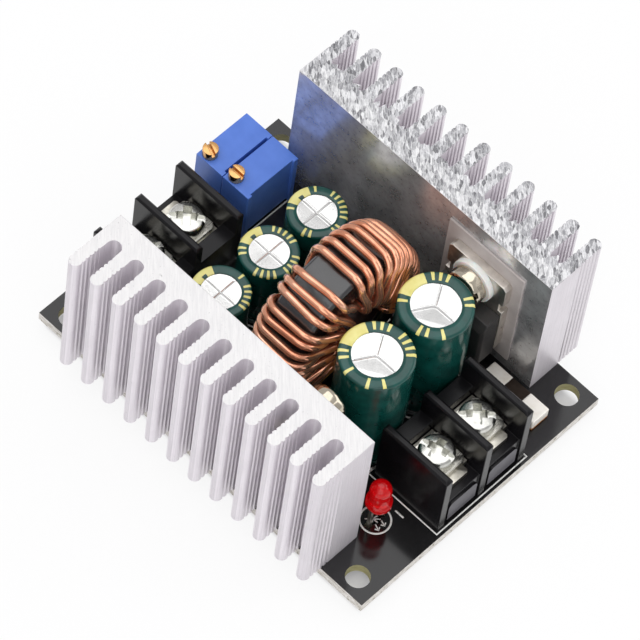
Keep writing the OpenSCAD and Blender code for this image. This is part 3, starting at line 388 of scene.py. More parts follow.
# The bay panels: the same black plastic with a rougher skin; its grey base is a painted sheen.
SATIN_PAINTED_SHEEN = dressed(
    "satin_panel_painted_sheen", (66, 64, 71), 0.4, {"skin": (5200, 2), "cloud": (500, 3)},
    ("cloud", (0.3, (58, 56, 63)), (0.7, (76, 74, 82))),
    gloss=("skin", 0.32, 0.48), dents=("skin", 4e-6, 0.5), Specular_IOR_Level=0.6,
)
SCREW_PLATE = zinc_plate("screw_plate", (218, 218, 212), 0.2)
NICKEL = zinc_plate("device_screw_nickel", (206, 197, 178), 0.08)
CLAMP_PLATE = zinc_plate("clamp_plate", (228, 226, 216), 0.26)
TAB_PLATE = zinc_plate("tab_plate", (236, 230, 221), 0.32)
BRASS = zinc_plate("trimmer_brass", (232, 180, 118), 0.24)
BLUE = dressed(
    "trimmer_plastic", (80, 122, 212), 0.38, {"grain": (3600, 3), "cloud": (300, 3)},
    ("cloud", (0.3, (74, 116, 206)), (0.7, (86, 128, 218))),
    gloss=("grain", 0.3, 0.48), dents=("grain", 5e-6, 0.6),
)
CAN = dressed(
    "can_aluminium", (222, 222, 220), 0.22, {"grain": (4200, 3), "stains": (420, 4)},
    ("stains", (0.3, (210, 210, 208)), (0.7, (226, 226, 224))),
    ("grain", 0.3, 0.42, 0.5, (178, 178, 176)),
    gloss=("grain", 0.28, 0.16), dents=("grain", 5e-6, 0.5), metallic=0.95,
)
COPPER = dressed(
    "enamelled_copper", (232, 164, 130), 0.18, {"tone": (240, 3), "rubs": (1500, 4)},
    ("tone", (0.28, (212, 136, 100)), (0.5, (233, 165, 131)), (0.75, (246, 194, 165))),
    ("rubs", 0.26, 0.36, 0.4, (186, 108, 76)),
    gloss=("rubs", 0.24, 0.14), dents=("rubs", 4e-6, 0.3), metallic=0.8, Coat_Weight=0.7, Coat_Roughness=0.05,
)
CORE = core_coat()
NYLON = dressed(
    "white_nylon", (238, 237, 233), 0.42, {"cloud": (600, 3), "grain": (2600, 3)},
    ("cloud", (0.3, (230, 228, 223)), (0.7, (242, 241, 238))),
    dents=("grain", 8e-6, 0.4), Subsurface_Weight=0.25, Subsurface_Scale=0.001,
)
PAD = dressed(
    "silicone_pad", (184, 176, 173), 0.42, {"cloth": (2100, 3), "cloud": (240, 4)},
    ("cloud", (0.3, (172, 163, 159)), (0.7, (194, 187, 184))),
    gloss=("cloth", 0.32, 0.5), dents=("cloth", 1e-5, 0.6),
)
EPOXY = epoxy_black("epoxy_moulding", (36, 35, 35), (56, 54, 53), 0.48)
TINNED = tin("tinned_metal", (214, 210, 198), 0.28, 8e-6)
SOLDER = tin("bright_solder", (206, 206, 204), 0.2, 2e-5)
SHUNT_CAP = shunt_cap()
SHUNT_ALLOY = tin("shunt_alloy", (58, 50, 45), 0.4, 1e-5)
RESIN_PAINTED_GLOW = dressed(
    "lamp_resin_painted_glow", (196, 6, 16), 0.05, {"cloud": (500, 2)},
    ("cloud", (0.3, (190, 4, 12)), (0.7, (206, 8, 18))), gloss=("cloud", 0.04, 0.08),
    Transmission_Weight=0.6, Specular_IOR_Level=0.3,
    # A faint painted glow in the red of the resin, which brightens the lamp's body.
    Emission_Color=(*lin(255, 12, 20), 1.0), Emission_Strength=0.1,
)
INK = dressed(
    "silk_ink", (228, 228, 224), 0.6, {"wear": (2600, 4)},
    ("wear", (0.26, (150, 150, 148)), (0.42, (232, 232, 228))), dents=("wear", 6e-6, 0.5),
)
RUBBER = epoxy_black("bung_rubber", (22, 22, 22), (34, 34, 34), 0.7)


# Mesh tools


def piece(mesh, body, slot, *nodes):
    """Puts a finished mesh on a body, in place of the CAD nodes that it stands for."""
    made = placed(mesh.name, mesh)
    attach(made, body)
    if nodes:
        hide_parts(*nodes)


def paint(finish, *nodes):
    """Gives CAD nodes that keep their own shape a finish."""
    for node in nodes:
        mesh = frame["nodes"][node].data
        mesh.materials.clear()
        mesh.materials.append(finish)


def merged(node):
    """The CAD node's mesh as merged, flat-sided faces."""
    bm = bmesh.new()
    bm.from_mesh(frame["nodes"][node].data)
    bmesh.ops.remove_doubles(bm, verts=bm.verts, dist=1e-6)
    bmesh.ops.dissolve_limit(bm, angle_limit=radians(1), verts=bm.verts, edges=bm.edges)
    return bm


def sharp(edge, limit):
    """Whether two faces meet at an edge at more than the limit in degrees."""
    return len(edge.link_faces) == 2 and edge.calc_face_angle(0.0) > radians(limit)


def round_edges(bm, width, limit=30.0, chosen=None):
    """Rounds the edges sharper than the limit by a width in millimetres."""
    edges = [e for e in bm.edges if sharp(e, limit) and (chosen is None or chosen(e))]
    bmesh.ops.bevel(
        bm, geom=edges, offset=width * MM, segments=2, profile=0.6, affect="EDGES", clamp_overlap=True
    )


def shade(bm):
    """Smooth shading on bends and rounded edges, flat shading on the large flats."""
    least, most, large = radians(2), radians(36), 4e-6
    for face in bm.faces:
        bends = [e.calc_face_angle(0.0) for e in face.edges if len(e.link_faces) == 2]
        face.smooth = any(least < b < most for b in bends) and face.calc_area() < large


def to_mesh(bm, name, *finishes):
    mesh = bpy.data.meshes.new(name)
    bm.to_mesh(mesh)
    bm.free()
    for finish in finishes:
        mesh.materials.append(finish)
    return mesh


def turn_about(axis, degrees):
    return Matrix.Rotation(radians(degrees), 3, axis)


def softened(node, finish, width, slot, body=ROOT, limit=30.0, ending="_rounded", turn=0.0):
    """A CAD node with its edges rounded by a width in millimetres, turned about its middle."""
    bm = merged(node)
    round_edges(bm, width, limit)
    shade(bm)
    bmesh.ops.rotate(bm, verts=bm.verts, cent=middle(node) * MM, matrix=turn_about("Z", turn))
    piece(to_mesh(bm, node + ending, finish), body, slot, node)


def slab(bm, back, front):
    """A closed block between two outlines in millimetres; its front face comes first."""
    near, far = ([bm.verts.new(Vector(p) * MM) for p in outline] for outline in (back, front))
    faces = [bm.faces.new(far), bm.faces.new(list(reversed(near)))]
    for k in range(len(near)):
        after = (k + 1) % len(near)
        faces.append(bm.faces.new((near[k], near[after], far[after], far[k])))
    return faces


def run_length(points):
    return sum(dist(here, there) for here, there in zip(points, points[1:]))


def turned(profile, steps, name, finish, close=False, wobble=None):
    """A shape turned about Z from (radius, height) points in millimetres, with u round it and v along it."""
    bm = bmesh.new()
    uv = bm.loops.layers.uv.new("print")
    count = len(profile)
    lengths = [run_length((profile + profile[:1])[:k + 1]) for k in range(count + 1)]
    rows = []
    for i in range(steps):
        a = 2 * pi * i / steps
        row = []
        for j, (r, z) in enumerate(profile):
            dr, dz = wobble(a, j) if wobble else (0.0, 0.0)
            spot = ((r + dr) * cos(a) * MM, (r + dr) * sin(a) * MM, (z + dz) * MM)
            row.append(bm.verts.new(spot))
        rows.append(row)
    for i in range(steps):
        this, after = rows[i], rows[(i + 1) % steps]
        for j in range(count if close else count - 1):
            k = (j + 1) % count
            face = bm.faces.new((this[j], after[j], after[k], this[k]))
            face.smooth = True
            spots = ((i, j), (i + 1, j), (i + 1, j + 1), (i, j + 1))
            for loop, (s, t) in zip(face.loops, spots):
                loop[uv].uv = (s / steps, lengths[t])
    bmesh.ops.remove_doubles(bm, verts=bm.verts, dist=1e-7)
    return to_mesh(bm, name, finish)


def stand(mesh, slot, node):
    """Puts a shape made on the origin in place of a CAD node, on the middle of its foot."""
    spot = middle(node)
    mesh.transform(Matrix.Translation(Vector((spot.x, spot.y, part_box(node)[0].z / MM)) * MM))
    piece(mesh, ROOT, slot, node)


def moved(mesh, name, place, turn):
    """A turned copy of a mesh at a place in millimetres."""
    copy = mesh.copy()
    copy.name = name
    copy.transform(Matrix.Translation(Vector(place) * MM) @ turn.to_4x4())
    return copy


def evaluated(source, name):
    """The plain mesh of an object with its modifiers applied; the object itself is removed."""
    bpy.context.view_layer.update()
    graph = bpy.context.evaluated_depsgraph_get()
    mesh = bpy.data.meshes.new_from_object(
        source.evaluated_get(graph), preserve_all_data_layers=True, depsgraph=graph
    )
    mesh.name = name
    bpy.data.objects.remove(source)
    return mesh


# Geometry Nodes: a wire along a path, printed lines on the board, and the pads round the leads


class Rule:
    """A Geometry Nodes tree with named inputs."""

    def __init__(self, name, **inputs):
        self.tree = bpy.data.node_groups.new(name, "GeometryNodeTree")
        face = self.tree.interface
        face.new_socket("Geometry", in_out="INPUT", socket_type="NodeSocketGeometry")
        self.ids = {}
        for label, kind in inputs.items():
            socket = face.new_socket(label, in_out="INPUT", socket_type="NodeSocket" + kind)
            self.ids[label] = socket.identifier
        face.new_socket("Geometry", in_out="OUTPUT", socket_type="NodeSocketGeometry")
        self.given = self.tree.nodes.new("NodeGroupInput").outputs

    def add(self, kind, links, prefix="GeometryNode", **settings):
        return add_node(self.tree, prefix + kind, links, **settings).outputs[0]

    def closed(self, geometry, finish):
        """The tree, ended with real geometry in the finish that is given to it."""
        real = self.add("RealizeInstances", {"Geometry": geometry})
        coated = self.add("SetMaterial", {"Geometry": real, "Material": self.given[finish]})
        add_node(self.tree, "NodeGroupOutput", {0: coated})
        return self

    def applied(self, data, name, **values):
        """The plain mesh that the tree makes from a curve or a cloud of points."""
        made = placed(name, data)
        modifier = made.modifiers.new(name, "NODES")
        modifier.node_group = self.tree
        for label, value in values.items():
            modifier[self.ids[label]] = value
        return evaluated(made, name)


def wire_rule():
    """A round wire along the curve."""
    rule = Rule("wound_wire", Diameter="Float", Sides="Int", Enamel="Material")
    radius = rule.add("Math", {0: rule.given["Diameter"], 1: 0.5}, "ShaderNode", operation="MULTIPLY")
    ring = rule.add("CurvePrimitiveCircle", {"Resolution": rule.given["Sides"], "Radius": radius})
    links = {"Curve": rule.given["Geometry"], "Profile Curve": ring, "Fill Caps": True}
    tube = rule.add("CurveToMesh", links)
    return rule.closed(rule.add("SetShadeSmooth", {"Geometry": tube}), "Enamel")


def line_rule():
    """A flat printed line along each curve."""
    rule = Rule("printed_line", Width="Float", Thickness="Float", Ink="Material")
    flat = rule.add("SetCurveNormal", {"Curve": rule.given["Geometry"]}, mode="Z_UP")
    size = {"Width": rule.given["Width"], "Height": rule.given["Thickness"]}
    bar = rule.add("CurvePrimitiveQuadrilateral", size)
    links = {"Curve": flat, "Profile Curve": bar, "Fill Caps": True}
    return rule.closed(rule.add("CurveToMesh", links), "Ink")


def pad_rule():
    """A low tinned disc at each point, as wide as the point's own reach."""
    rule = Rule("solder_pads", Thickness="Float", Tin="Material")
    size = {"Vertices": 24, "Radius": 1.0, "Depth": rule.given["Thickness"]}
    disc = rule.add("MeshCylinder", size)
    reach = rule.add("InputNamedAttribute", {"Name": "reach"}, data_type="FLOAT")
    scale = rule.add("CombineXYZ", {"X": reach, "Y": reach, "Z": 1.0}, "ShaderNode")
    links = {"Points": rule.given["Geometry"], "Instance": disc, "Scale": scale}
    return rule.closed(rule.add("InstanceOnPoints", links), "Tin")


def polylines(name, *lines):
    """A curve of straight runs through points in millimetres; a line that ends where it starts is closed."""
    curve = bpy.data.curves.new(name, "CURVE")
    curve.dimensions = "3D"
    for line in lines:
        closed = (Vector(line[0]) - Vector(line[-1])).length < 1e-6
        points = line[:-1] if closed else line
        spline = curve.splines.new("POLY")
        spline.points.add(len(points) - 1)
        spline.use_cyclic_u = closed
        for spot, point in zip(spline.points, points):
            spot.co = (*(Vector(point) * MM), 1.0)
    return curve


def point_cloud(name, places, reaches):
    """Loose points in millimetres, with a reach for each."""
    mesh = bpy.data.meshes.new(name)
    mesh.from_pydata([Vector(p) * MM for p in places], [], [])
    marks = mesh.attributes.new("reach", "FLOAT", "POINT")
    marks.data.foreach_set("value", [r * MM for r in reaches])
    return mesh


# Camera, light and stage


def make_camera():
    azimuth, elevation, roll = radians(36.31), radians(58.92), radians(-9.45)
    target, distance = Vector((-0.81, 0.01, 9.9)) * MM, 716.7 * MM
    level = cos(elevation)
    back = Vector((sin(azimuth) * level, -cos(azimuth) * level, sin(elevation)))
    right = (-back).cross(Vector((0, 0, 1))).normalized()
    down = (-back).cross(right)
    across = right * cos(roll) + down * sin(roll)
    upward = right * sin(roll) - down * cos(roll)
    data = bpy.data.cameras.new("camera")
    data.sensor_width = 36.0
    data.lens = 306.3
    camera = placed("camera", data)
    turn = Matrix((across, upward, back)).transposed().to_4x4()
    camera.matrix_world = Matrix.Translation(target + back * distance) @ turn
    bpy.context.scene.camera = camera


def soft_box(name, direction, distance, width, depth, radiance):
    """A flat lamp that looks at the object from a direction."""
    data = bpy.data.lights.new(name, "AREA")
    data.shape = "RECTANGLE"
    data.size, data.size_y = width, depth
    data.energy = radiance * pi * width * depth
    way = Vector(direction).normalized()
    turn = way.to_track_quat("Z", "Y").to_matrix().to_4x4()
    placed(name, data).matrix_world = Matrix.Translation(way * distance) @ turn


def make_world():
    """A plain sky, brighter overhead than at the horizon."""
    horizon, overhead, full_height = 0.6, 0.68, 0.85
    world = bpy.data.worlds.new("studio")
    bpy.context.scene.world = world
    world.use_nodes = True
    tree = world.node_tree
    way = add_node(tree, "ShaderNodeTexCoord").outputs["Generated"]
    height = add_node(tree, "ShaderNodeSeparateXYZ", {0: way}).outputs["Z"]
    links = {"Value": height, "From Max": full_height, "To Min": horizon, "To Max": overhead}
    sky = tree.nodes["Background"].inputs
    feed(tree, sky["Color"], (*lin(253, 252, 255), 1.0))
    feed(tree, sky["Strength"], add_node(tree, "ShaderNodeMapRange", links).outputs[0])


def floor_glow(f):
    """The floor's glow where it is seen, cut back in a box under the board: a painted shadow there, which the
    mounting holes show.
    """
    open_glow, painted_shadow_glow, inset, deep = 0.88, 0.2, 0.3 * MM, 1.2 * MM
    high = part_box("circuit_board")[1]
    # The board's footprint, where the glow drops to the painted shadow.
    inside = [
        f.rise(f.calc("ABSOLUTE", f.axis(label)), reach - inset, reach - deep)
        for label, reach in (("X", high.x), ("Y", high.y))
    ]
    rays = f.add("LightPath")
    seen = f.calc("MAXIMUM", rays["Is Camera Ray"], rays["Is Glossy Ray"])
    seen = f.calc("MAXIMUM", seen, rays["Is Transmission Ray"])
    return f.every(seen, f.spread(f.every(*inside), open_glow, painted_shadow_glow))


def make_floor():
    half, level = 3.0, cad_box[0].z - 0.00005
    f = Finish("pale_floor", (239, 239, 239), 1.0)
    f.tree.nodes.remove(f.tree.nodes["Principled BSDF"])
    matt = f.add("BsdfDiffuse", {"Color": (0.86, 0.86, 0.86, 1.0)})[0]
    glow = f.add("Emission", {"Color": (1, 1, 1, 1)})[0]
    mix = f.add("MixShader", {0: floor_glow(f), 1: matt, 2: glow})[0]
    feed(f.tree, f.tree.nodes["Material Output"].inputs["Surface"], mix)
    mesh = bpy.data.meshes.new("floor")
    mesh.from_pydata([(x * half, y * half, level) for x, y in CORNERS], [], [(0, 1, 2, 3)])
    mesh.materials.append(f.material)
    floor = placed("floor", mesh)


make_camera()
make_world()
make_floor()
soft_box("overhead_box", (-0.14, 0.02, 1.0), distance=0.8, width=0.85, depth=0.78, radiance=1.25)
soft_box("front_box", (0.45, -0.62, 0.64), distance=0.9, width=0.8, depth=0.8, radiance=1.1)
soft_box("back_box", (0.48, 0.8, 0.42), distance=0.9, width=0.7, depth=0.7, radiance=1.3)


# Circuit board


def make_board():
    finishes = (MASK, EDGE, DRILLED, TINNED)
    corner_x, corner_y = 24 * MM, 18 * MM
    bm = merged("circuit_board")
    low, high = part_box("circuit_board")
    for face in bm.faces:
        spot = face.calc_center_median()
        to_edge = min(abs(spot.x - low.x), abs(spot.x - high.x), abs(spot.y - low.y), abs(spot.y - high.y))
        if abs(face.normal.z) > 0.5:
            finish = MASK
        elif to_edge < 5e-5:
            finish = EDGE
        else:
            finish = DRILLED if abs(spot.x) > corner_x and abs(spot.y) > corner_y else TINNED
            face.smooth = True
        face.material_index = finishes.index(finish)
    piece(to_mesh(bm, "board_panel", *finishes), ROOT, "board", "circuit_board")


def circle(x, y, radius, z):
    spokes = [polar(radius, 9 * k) for k in range(41)]
    return [(x + u, y + v, z) for u, v in spokes]


def make_silk():
    """Printed outlines of the parts, plus and minus marks, and the lamp's symbol."""
    z, arm, line_w, symbol_w, thickness = BOARD_TOP + 0.015, 0.75, 0.26, 0.17, 0.03
    outlines = ((16.9, -8.0, 29.45, 9.2), (-29.45, -14.6, -16.9, 2.65), (-29.8, 5.0, -19.9, 15.3))
    lines = [
        [(x0, y0, z), (x1, y0, z), (x1, y1, z), (x0, y1, z), (x0, y0, z)] for x0, y0, x1, y1 in outlines
    ]
    plus = ((24.0, 10.6), (-15.6, 1.95))
    minus = ((24.0, -9.4), (-14.55, -12.2))
    lines += [[(x - arm, y, z), (x + arm, y, z)] for x, y in plus + minus]
    lines += [[(x, y - arm, z), (x, y + arm, z)] for x, y in plus]
    low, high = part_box("shunt_ends")
    left, front, back = low.x / MM - 0.5, low.y / MM - 0.35, high.y / MM + 0.35
    right = left + 5.6
    lines.append([(right, back, z), (left, back, z), (left, front, z), (right, front, z)])
    rings = [("lamp_body", 2.1)]
    rings += [(f"small_capacitor_{letter}", 4.45) for letter in "abc"]
    rings += [(f"big_capacitor_{letter}", 5.5) for letter in "ab"]
    lines += [circle(middle(node).x, middle(node).y, radius, z) for node, radius in rings]
    lamp, slant = middle("lamp_body"), 0.707
    symbol = [
        [(lamp.x + (a + b) * slant, lamp.y + (a - b) * slant, z) for a, b in run]
        for run in (
            ((-1.4, -0.1), (0.7, -0.1)), ((-0.4, -0.6), (-0.4, 0.4)), ((0.3, -0.6), (-0.4, -0.1), (0.3, 0.4)),
            ((0.8, 0.1), (1.2, 0.9)), ((0.7, 0.75), (1.2, 0.9), (1.35, 0.4)),
            ((0.0, 0.7), (0.4, 1.6)), ((-0.1, 1.4), (0.4, 1.6), (0.55, 1.1)),
        )
    ]
    rule = line_rule()
    for name, runs, width in (("silk_lines", lines, line_w), ("lamp_symbol", symbol, symbol_w)):
        mesh = rule.applied(polylines(name, *runs), name, Width=width * MM, Thickness=thickness * MM, Ink=INK)
        piece(mesh, ROOT, "board")


def islands(bm):
    """The points of each separate part of a mesh, in millimetres."""
    seen = set()
    for vert in bm.verts:
        island, queue = [], [] if vert in seen else [vert]
        seen.update(queue)
        while queue:
            here = queue.pop()
            island.append(here.co / MM)
            fresh = {edge.other_vert(here) for edge in here.link_edges} - seen
            seen |= fresh
            queue += fresh
        if island:
            yield island


def make_pads():
    """A tinned pad round each soldered lead underneath, and two on one spot between the lamp's leads on top."""
    margin, thickness, lead_half, lamp_reach = 0.22, 0.04, 0.25, 0.75
    bm = merged("solder_joints")
    places, reaches = [], []
    for island in islands(bm):
        xs, ys = [p.x for p in island], [p.y for p in island]
        places.append(((min(xs) + max(xs)) / 2, (min(ys) + max(ys)) / 2, -0.01))
        reaches.append(max(max(xs) - min(xs), max(ys) - min(ys)) / 2 + margin)
    bm.free()
    low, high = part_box("lamp_leads")
    for x in (low.x / MM + lead_half, high.x / MM - lead_half):
        places.append((x, middle("lamp_leads").y, BOARD_TOP + 0.005))
        reaches.append(lamp_reach)
    points = point_cloud("pad_places", places, reaches)
    mesh = pad_rule().applied(points, "solder_pads", Thickness=thickness * MM, Tin=TINNED)
    piece(mesh, ROOT, "solder")


# Heatsinks


def slot_burrs(bm, left, face_y, top):
    """Thin torn flaps that hang over the round ends of the slots."""
    radius, upper, lower = 1.1, top - 0.03, top - 0.16
    y = face_y + SINK_BASE + SLOT_W / 2
    for k in range(SLOTS):
        x = left + FIRST_SLOT + SLOT_W / 2 + SLOT_PITCH * k
        outline = [(x + u, y - v) for u, v in (polar(radius, 20 * j) for j in range(10))]
        outline += [(x + radius * (2 * j / 7 - 1), y + random.uniform(-0.75, 0.35)) for j in range(1, 7)]
        faces = slab(bm, [(u, v, lower) for u, v in outline], [(u, v, upper) for u, v in outline])
        bmesh.ops.reverse_faces(bm, faces=faces)


def ragged_rim(bm, low, high, face_y, burr, seed):
    """Cuts the rim of the sawn top into short runs and shifts their ends, inside the box."""
    strip, shortest, run, kept_back = 0.3 * MM, 0.6 * MM, 0.42 * MM, 0.2 * MM
    grain, apart = 2600, Vector((7.3, 1.9, 4.1))

    def on_top(vert):
        return abs(vert.co.z - high.z) < 1e-6

    whole = list(bm.verts) + list(bm.edges) + list(bm.faces)
    bmesh.ops.bisect_plane(bm, geom=whole, plane_co=(0, 0, high.z - strip), plane_no=(0, 0, 1))
    rim = [
        e for e in bm.edges
        if all(on_top(v) for v in e.verts)
        and any(abs(f.normal.z) < 0.3 for f in e.link_faces) and e.calc_length() > shortest
    ]
    for edge in rim:
        wall = min(edge.link_faces, key=lambda f: min(v.co.z for v in f.verts))
        across = [e for e in wall.edges if not set(e.verts) & set(edge.verts)]
        cuts = max(1, int(edge.calc_length() / run))
        bmesh.ops.subdivide_edges(bm, edges=[edge] + across[:1], cuts=cuts)
    tops = [v for v in bm.verts if on_top(v) and abs(v.co.y - face_y * MM) > kept_back]
    throws = [min(burr * MM, 0.4 * min(e.calc_length() for e in v.link_edges)) for v in tops]
    for vert, throw in zip(tops, throws):
        spot = vert.co * grain + Vector((seed, seed, 0))
        x = vert.co.x + throw * noise.noise(spot)
        y = vert.co.y + throw * noise.noise(spot + apart)
        x, y = low.x + abs(x - low.x), low.y + abs(y - low.y)
        vert.co.xy = high.x - abs(high.x - x), high.y - abs(high.y - y)


def make_heatsink(node, top_finish, face_y, burr, seed):
    finishes = (DRAWN, top_finish, ROLLED, SAWN, SLOT_WALL_PAINTED_LIGHT)
    bm = merged(node)
    low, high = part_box(node)
    random.seed(seed)
    round_edges(bm, 0.12, 60, lambda e: all(
        abs(v.co.z - high.z) < 1e-6 and abs(v.co.y - face_y * MM) < 1e-6 for v in e.verts
    ))
    ragged_rim(bm, low, high, face_y, burr, seed)
    if top_finish is TORN:
        slot_burrs(bm, low.x / MM, face_y, high.z / MM)
    bm.normal_update()
    slots_from, end_fin = (SINK_BASE - 0.2) * MM, 0.6 * MM
    for face in bm.faces:
        spot, normal = face.calc_center_median(), face.normal
        depth = abs(spot.y - face_y * MM)
        if normal.z > 0.95:
            finish = top_finish
        elif normal.z > 0.2:
            finish = SAWN
        elif depth < 5e-5 and abs(normal.y) > 0.9:
            finish = ROLLED
        # Faces deep in the slots take the lighter skin, painted light against their shade.
        elif depth > slots_from and abs(normal.x) > 0.3 and low.x + end_fin < spot.x < high.x - end_fin:
            finish = SLOT_WALL_PAINTED_LIGHT
        else:
            finish = DRAWN
        face.material_index = finishes.index(finish)
    shade(bm)
    piece(to_mesh(bm, node + "_extrusion", *finishes), ROOT, "heatsink", node)


# Screws


def bar_cutter(length, width, depth, draft):
    """A tapered bar in the top of a screw's head, for its recess."""
    foot_l, foot_w = length / 2 - draft, width / 2 - draft * 0.25
    low = [(sx * foot_l, sy * foot_w, HEAD_H - depth) for sx, sy in CORNERS]
    high = [(sx * length / 2, sy * width / 2, HEAD_H + 0.5) for sx, sy in CORNERS]
    bm = bmesh.new()
    slab(bm, low, high)
    return bm


def screw_mesh(name, head_d, plate):
    """A pan head with a cross and a slot, over a threaded shank; the head's underside is on Z 0."""
    r = head_d / 2
    profile = [(0.0, 0.0), (r - 0.12, 0.0), (r, 0.1), (r, 0.5 * HEAD_H)]
    arc = [polar(1.0, 11.25 * k) for k in range(1, 9)]
    profile += [((0.8 + 0.2 * u) * r, (0.5 + 0.4 * v) * HEAD_H) for u, v in arc]
    profile += [(0.5 * r, 0.97 * HEAD_H), (0.2 * r, 0.995 * HEAD_H), (0.0, HEAD_H)]
    head = placed(name, turned(profile, 64, name, plate))
    cross = (0.7 * head_d, 0.25 * head_d, 0.66 * HEAD_H, 0.6)
    slot = (1.3 * head_d, 0.17 * head_d, 0.34 * HEAD_H, 0.0)
    cutters = []
    for k, (bar, angle) in enumerate(((cross, 0), (cross, 90), (slot, 0))):
        bm = bar_cutter(*bar)
        bmesh.ops.rotate(bm, verts=bm.verts, matrix=turn_about("Z", angle))
        cutter = placed(f"{name}_cut_{k}", to_mesh(bm, f"{name}_cut_{k}"))
        cutters.append(cutter)
        modifier = head.modifiers.new(cutter.name, "BOOLEAN")
        modifier.operation = "DIFFERENCE"
        modifier.solver = "EXACT"
        modifier.object = cutter
    mesh = evaluated(head, name)
    for cutter in cutters:
        bpy.data.objects.remove(cutter)
    bm = bmesh.new()
    bm.from_mesh(mesh)
    bmesh.ops.remove_doubles(bm, verts=bm.verts, dist=2e-6)
    edges = [e for e in bm.edges if sharp(e, 35) and e.verts[0].co.z > 0.3 * MM]
    bmesh.ops.bevel(bm, geom=edges, offset=0.05 * MM, segments=2, affect="EDGES", clamp_overlap=True)
    for face in bm.faces:
        face.smooth = True
    add_thread(bm)
    bm.to_mesh(mesh)
    bm.free()
    mesh.set_sharp_from_angle(angle=radians(38))
    return mesh


def add_thread(bm):
    """A threaded shank from Z 0 down, its crests on the shank's radius."""
    steps, rows_per_turn, depth, point = 32, 8, 0.56 * THREAD_PITCH, 0.3
    rows = int(SHANK_L / THREAD_PITCH * rows_per_turn)
    grid = []
    for j in range(rows + 1):
        z = -SHANK_L * j / rows
        row = []
        for i in range(steps):
            a = 2 * pi * i / steps
            phase = (z / THREAD_PITCH + i / steps) % 1.0
            fade = min(1.0, (SHANK_L + z) / THREAD_PITCH)
            r = SHANK_D / 2 - depth * (1 - abs(2 * phase - 1)) - (1 - fade) * point
            row.append(bm.verts.new((r * cos(a) * MM, r * sin(a) * MM, z * MM)))
        grid.append(row)
    for j in range(rows):
        for i in range(steps):
            k = (i + 1) % steps
            face = bm.faces.new((grid[j][i], grid[j + 1][i], grid[j + 1][k], grid[j][k]))
            face.smooth = True
    bm.faces.new(list(reversed(grid[rows])))
    bm.faces.new(grid[0])


def make_screws():
    terminal = screw_mesh("terminal_screw_form", 5.1, SCREW_PLATE)
    fitted = (("input", "a", 14), ("input", "b", 45), ("output", "a", 40), ("output", "b", 71))
    for side, bay, angle in fitted:
        node = f"{side}_screw_{bay}"
        place = (middle(node).x, middle(node).y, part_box(node)[1].z / MM - HEAD_H)
        mesh = moved(terminal, node + "_threaded", place, turn_about("Z", angle))
        piece(mesh, f"{side}_{bay}_screw", "plated_screw", node)
    device = screw_mesh("device_screw_form", 5.6, NICKEL)
    for node, way in (("front_device_screw", 1), ("rear_device_screw", -1)):
        low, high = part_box(node)
        seat = (high.y if way > 0 else low.y) / MM - way * HEAD_H
        turn = turn_about("X", -90 * way) @ turn_about("Z", 25)
        mesh = moved(device, node + "_threaded", (middle(node).x, seat, middle(node).z), turn)
        piece(mesh, ROOT, "plated_screw", node)
    bpy.data.meshes.remove(terminal)
    bpy.data.meshes.remove(device)


# Capacitors


def make_sleeve(node, d, h, seed):
    """A shrunk sleeve: up the wall, over the can's edge to the lip, and back inside."""
    r, t, fold, neck = d / 2, 0.15, 0.42, 2.9
    top, lip, out = h + 2 * t, 0.68 * r, r + t
    wall = [(r - 0.5, 0.0), (out - 0.1, 0.0), (out, 0.12), (out, 1.7), (out - 0.1, 2.3), (out, neck)]
    wall += [(out, neck + (top - fold - neck) * k / 4) for k in range(1, 5)]
    over = [(out - fold + u, top - fold + v) for u, v in (polar(fold, 15 * k) for k in range(1, 7))]
    over += [(0.5 * (lip + out - fold), top - 0.01), (lip + 0.05, top - 0.02), (lip, top - 0.07)]
    inner = [(lip, h + t), (r - 0.3, h + t), (r, h + t - 0.3), (r, t), (r - 0.5, t)]
    last = len(wall) + len(over) - 1

    def ripple(a, j):
        if last - 2 <= j <= last + 1:
            return (0.07 * noise.noise(Vector((2.2 * cos(a), 2.2 * sin(a), seed))), 0.0)
        return (0.0, 0.0)

    wall_v = run_length(wall)
    finish = sleeve_print(node + "_print", wall_v, wall_v + run_length(wall[-1:] + over), seed)
    mesh = turned(wall + over + inner, 72, node + "_shrunk", finish, close=True, wobble=ripple)
    stand(mesh, "sleeve", node)


def make_can(node, d, h, arms):
    """A can with a dished top between its scored lines."""
    r, sector = d / 2, 2 * pi / arms
    wall = [(0.0, 1.5), (r - 0.5, 1.5), (r - 0.5, 0.0), (r, 0.0), (r, 1.9), (r - 0.2, 2.2), (r, 2.5)]
    wall += [(r, h - 0.3), (r - 0.06, h - 0.1), (r - 0.3, h)]
    rings = [(r * 0.9 * (1 - k / 30), h - 0.03) for k in range(30)]
    scored = 0.68 * r - 0.3

    def stamp(a, j):
        if not 0 <= j - len(wall) < len(rings):
            return (0.0, 0.0)
        p = rings[j - len(wall)][0]
        arms_at = [a - k * sector for k in range(arms)]
        far = min(abs(p * sin(b)) if cos(b) > 0 else p for b in arms_at)
        groove = 0.07 * exp(-((far / 0.07) ** 2)) - 0.02 * exp(-(((far - 0.2) / 0.06) ** 2))
        fade = min(1.0, max(0.0, 1 - (p - scored) / 0.2))
        dish = max(0.0, 0.2 - 0.075 * p * cos(a % sector - sector / 2))
        return (0.0, -groove * fade - dish)

    mesh = turned(wall + rings + [(0.0, h - 0.3)], 192, node + "_scored", CAN, wobble=stamp)
    mesh.set_sharp_from_angle(angle=radians(40))
    stand(mesh, "can", node)


def make_capacitors():
    kinds = (("small", "abc", SMALL_CAN, 4, 3.0), ("big", "ab", BIG_CAN, 3, 21.0))
    for size, letters, form, arms, seed in kinds:
        for k, letter in enumerate(letters):
            make_sleeve(f"{size}_sleeve_{letter}", *form, seed + 5 * k)
            make_can(f"{size}_capacitor_{letter}", *form, arms)


# Inductor


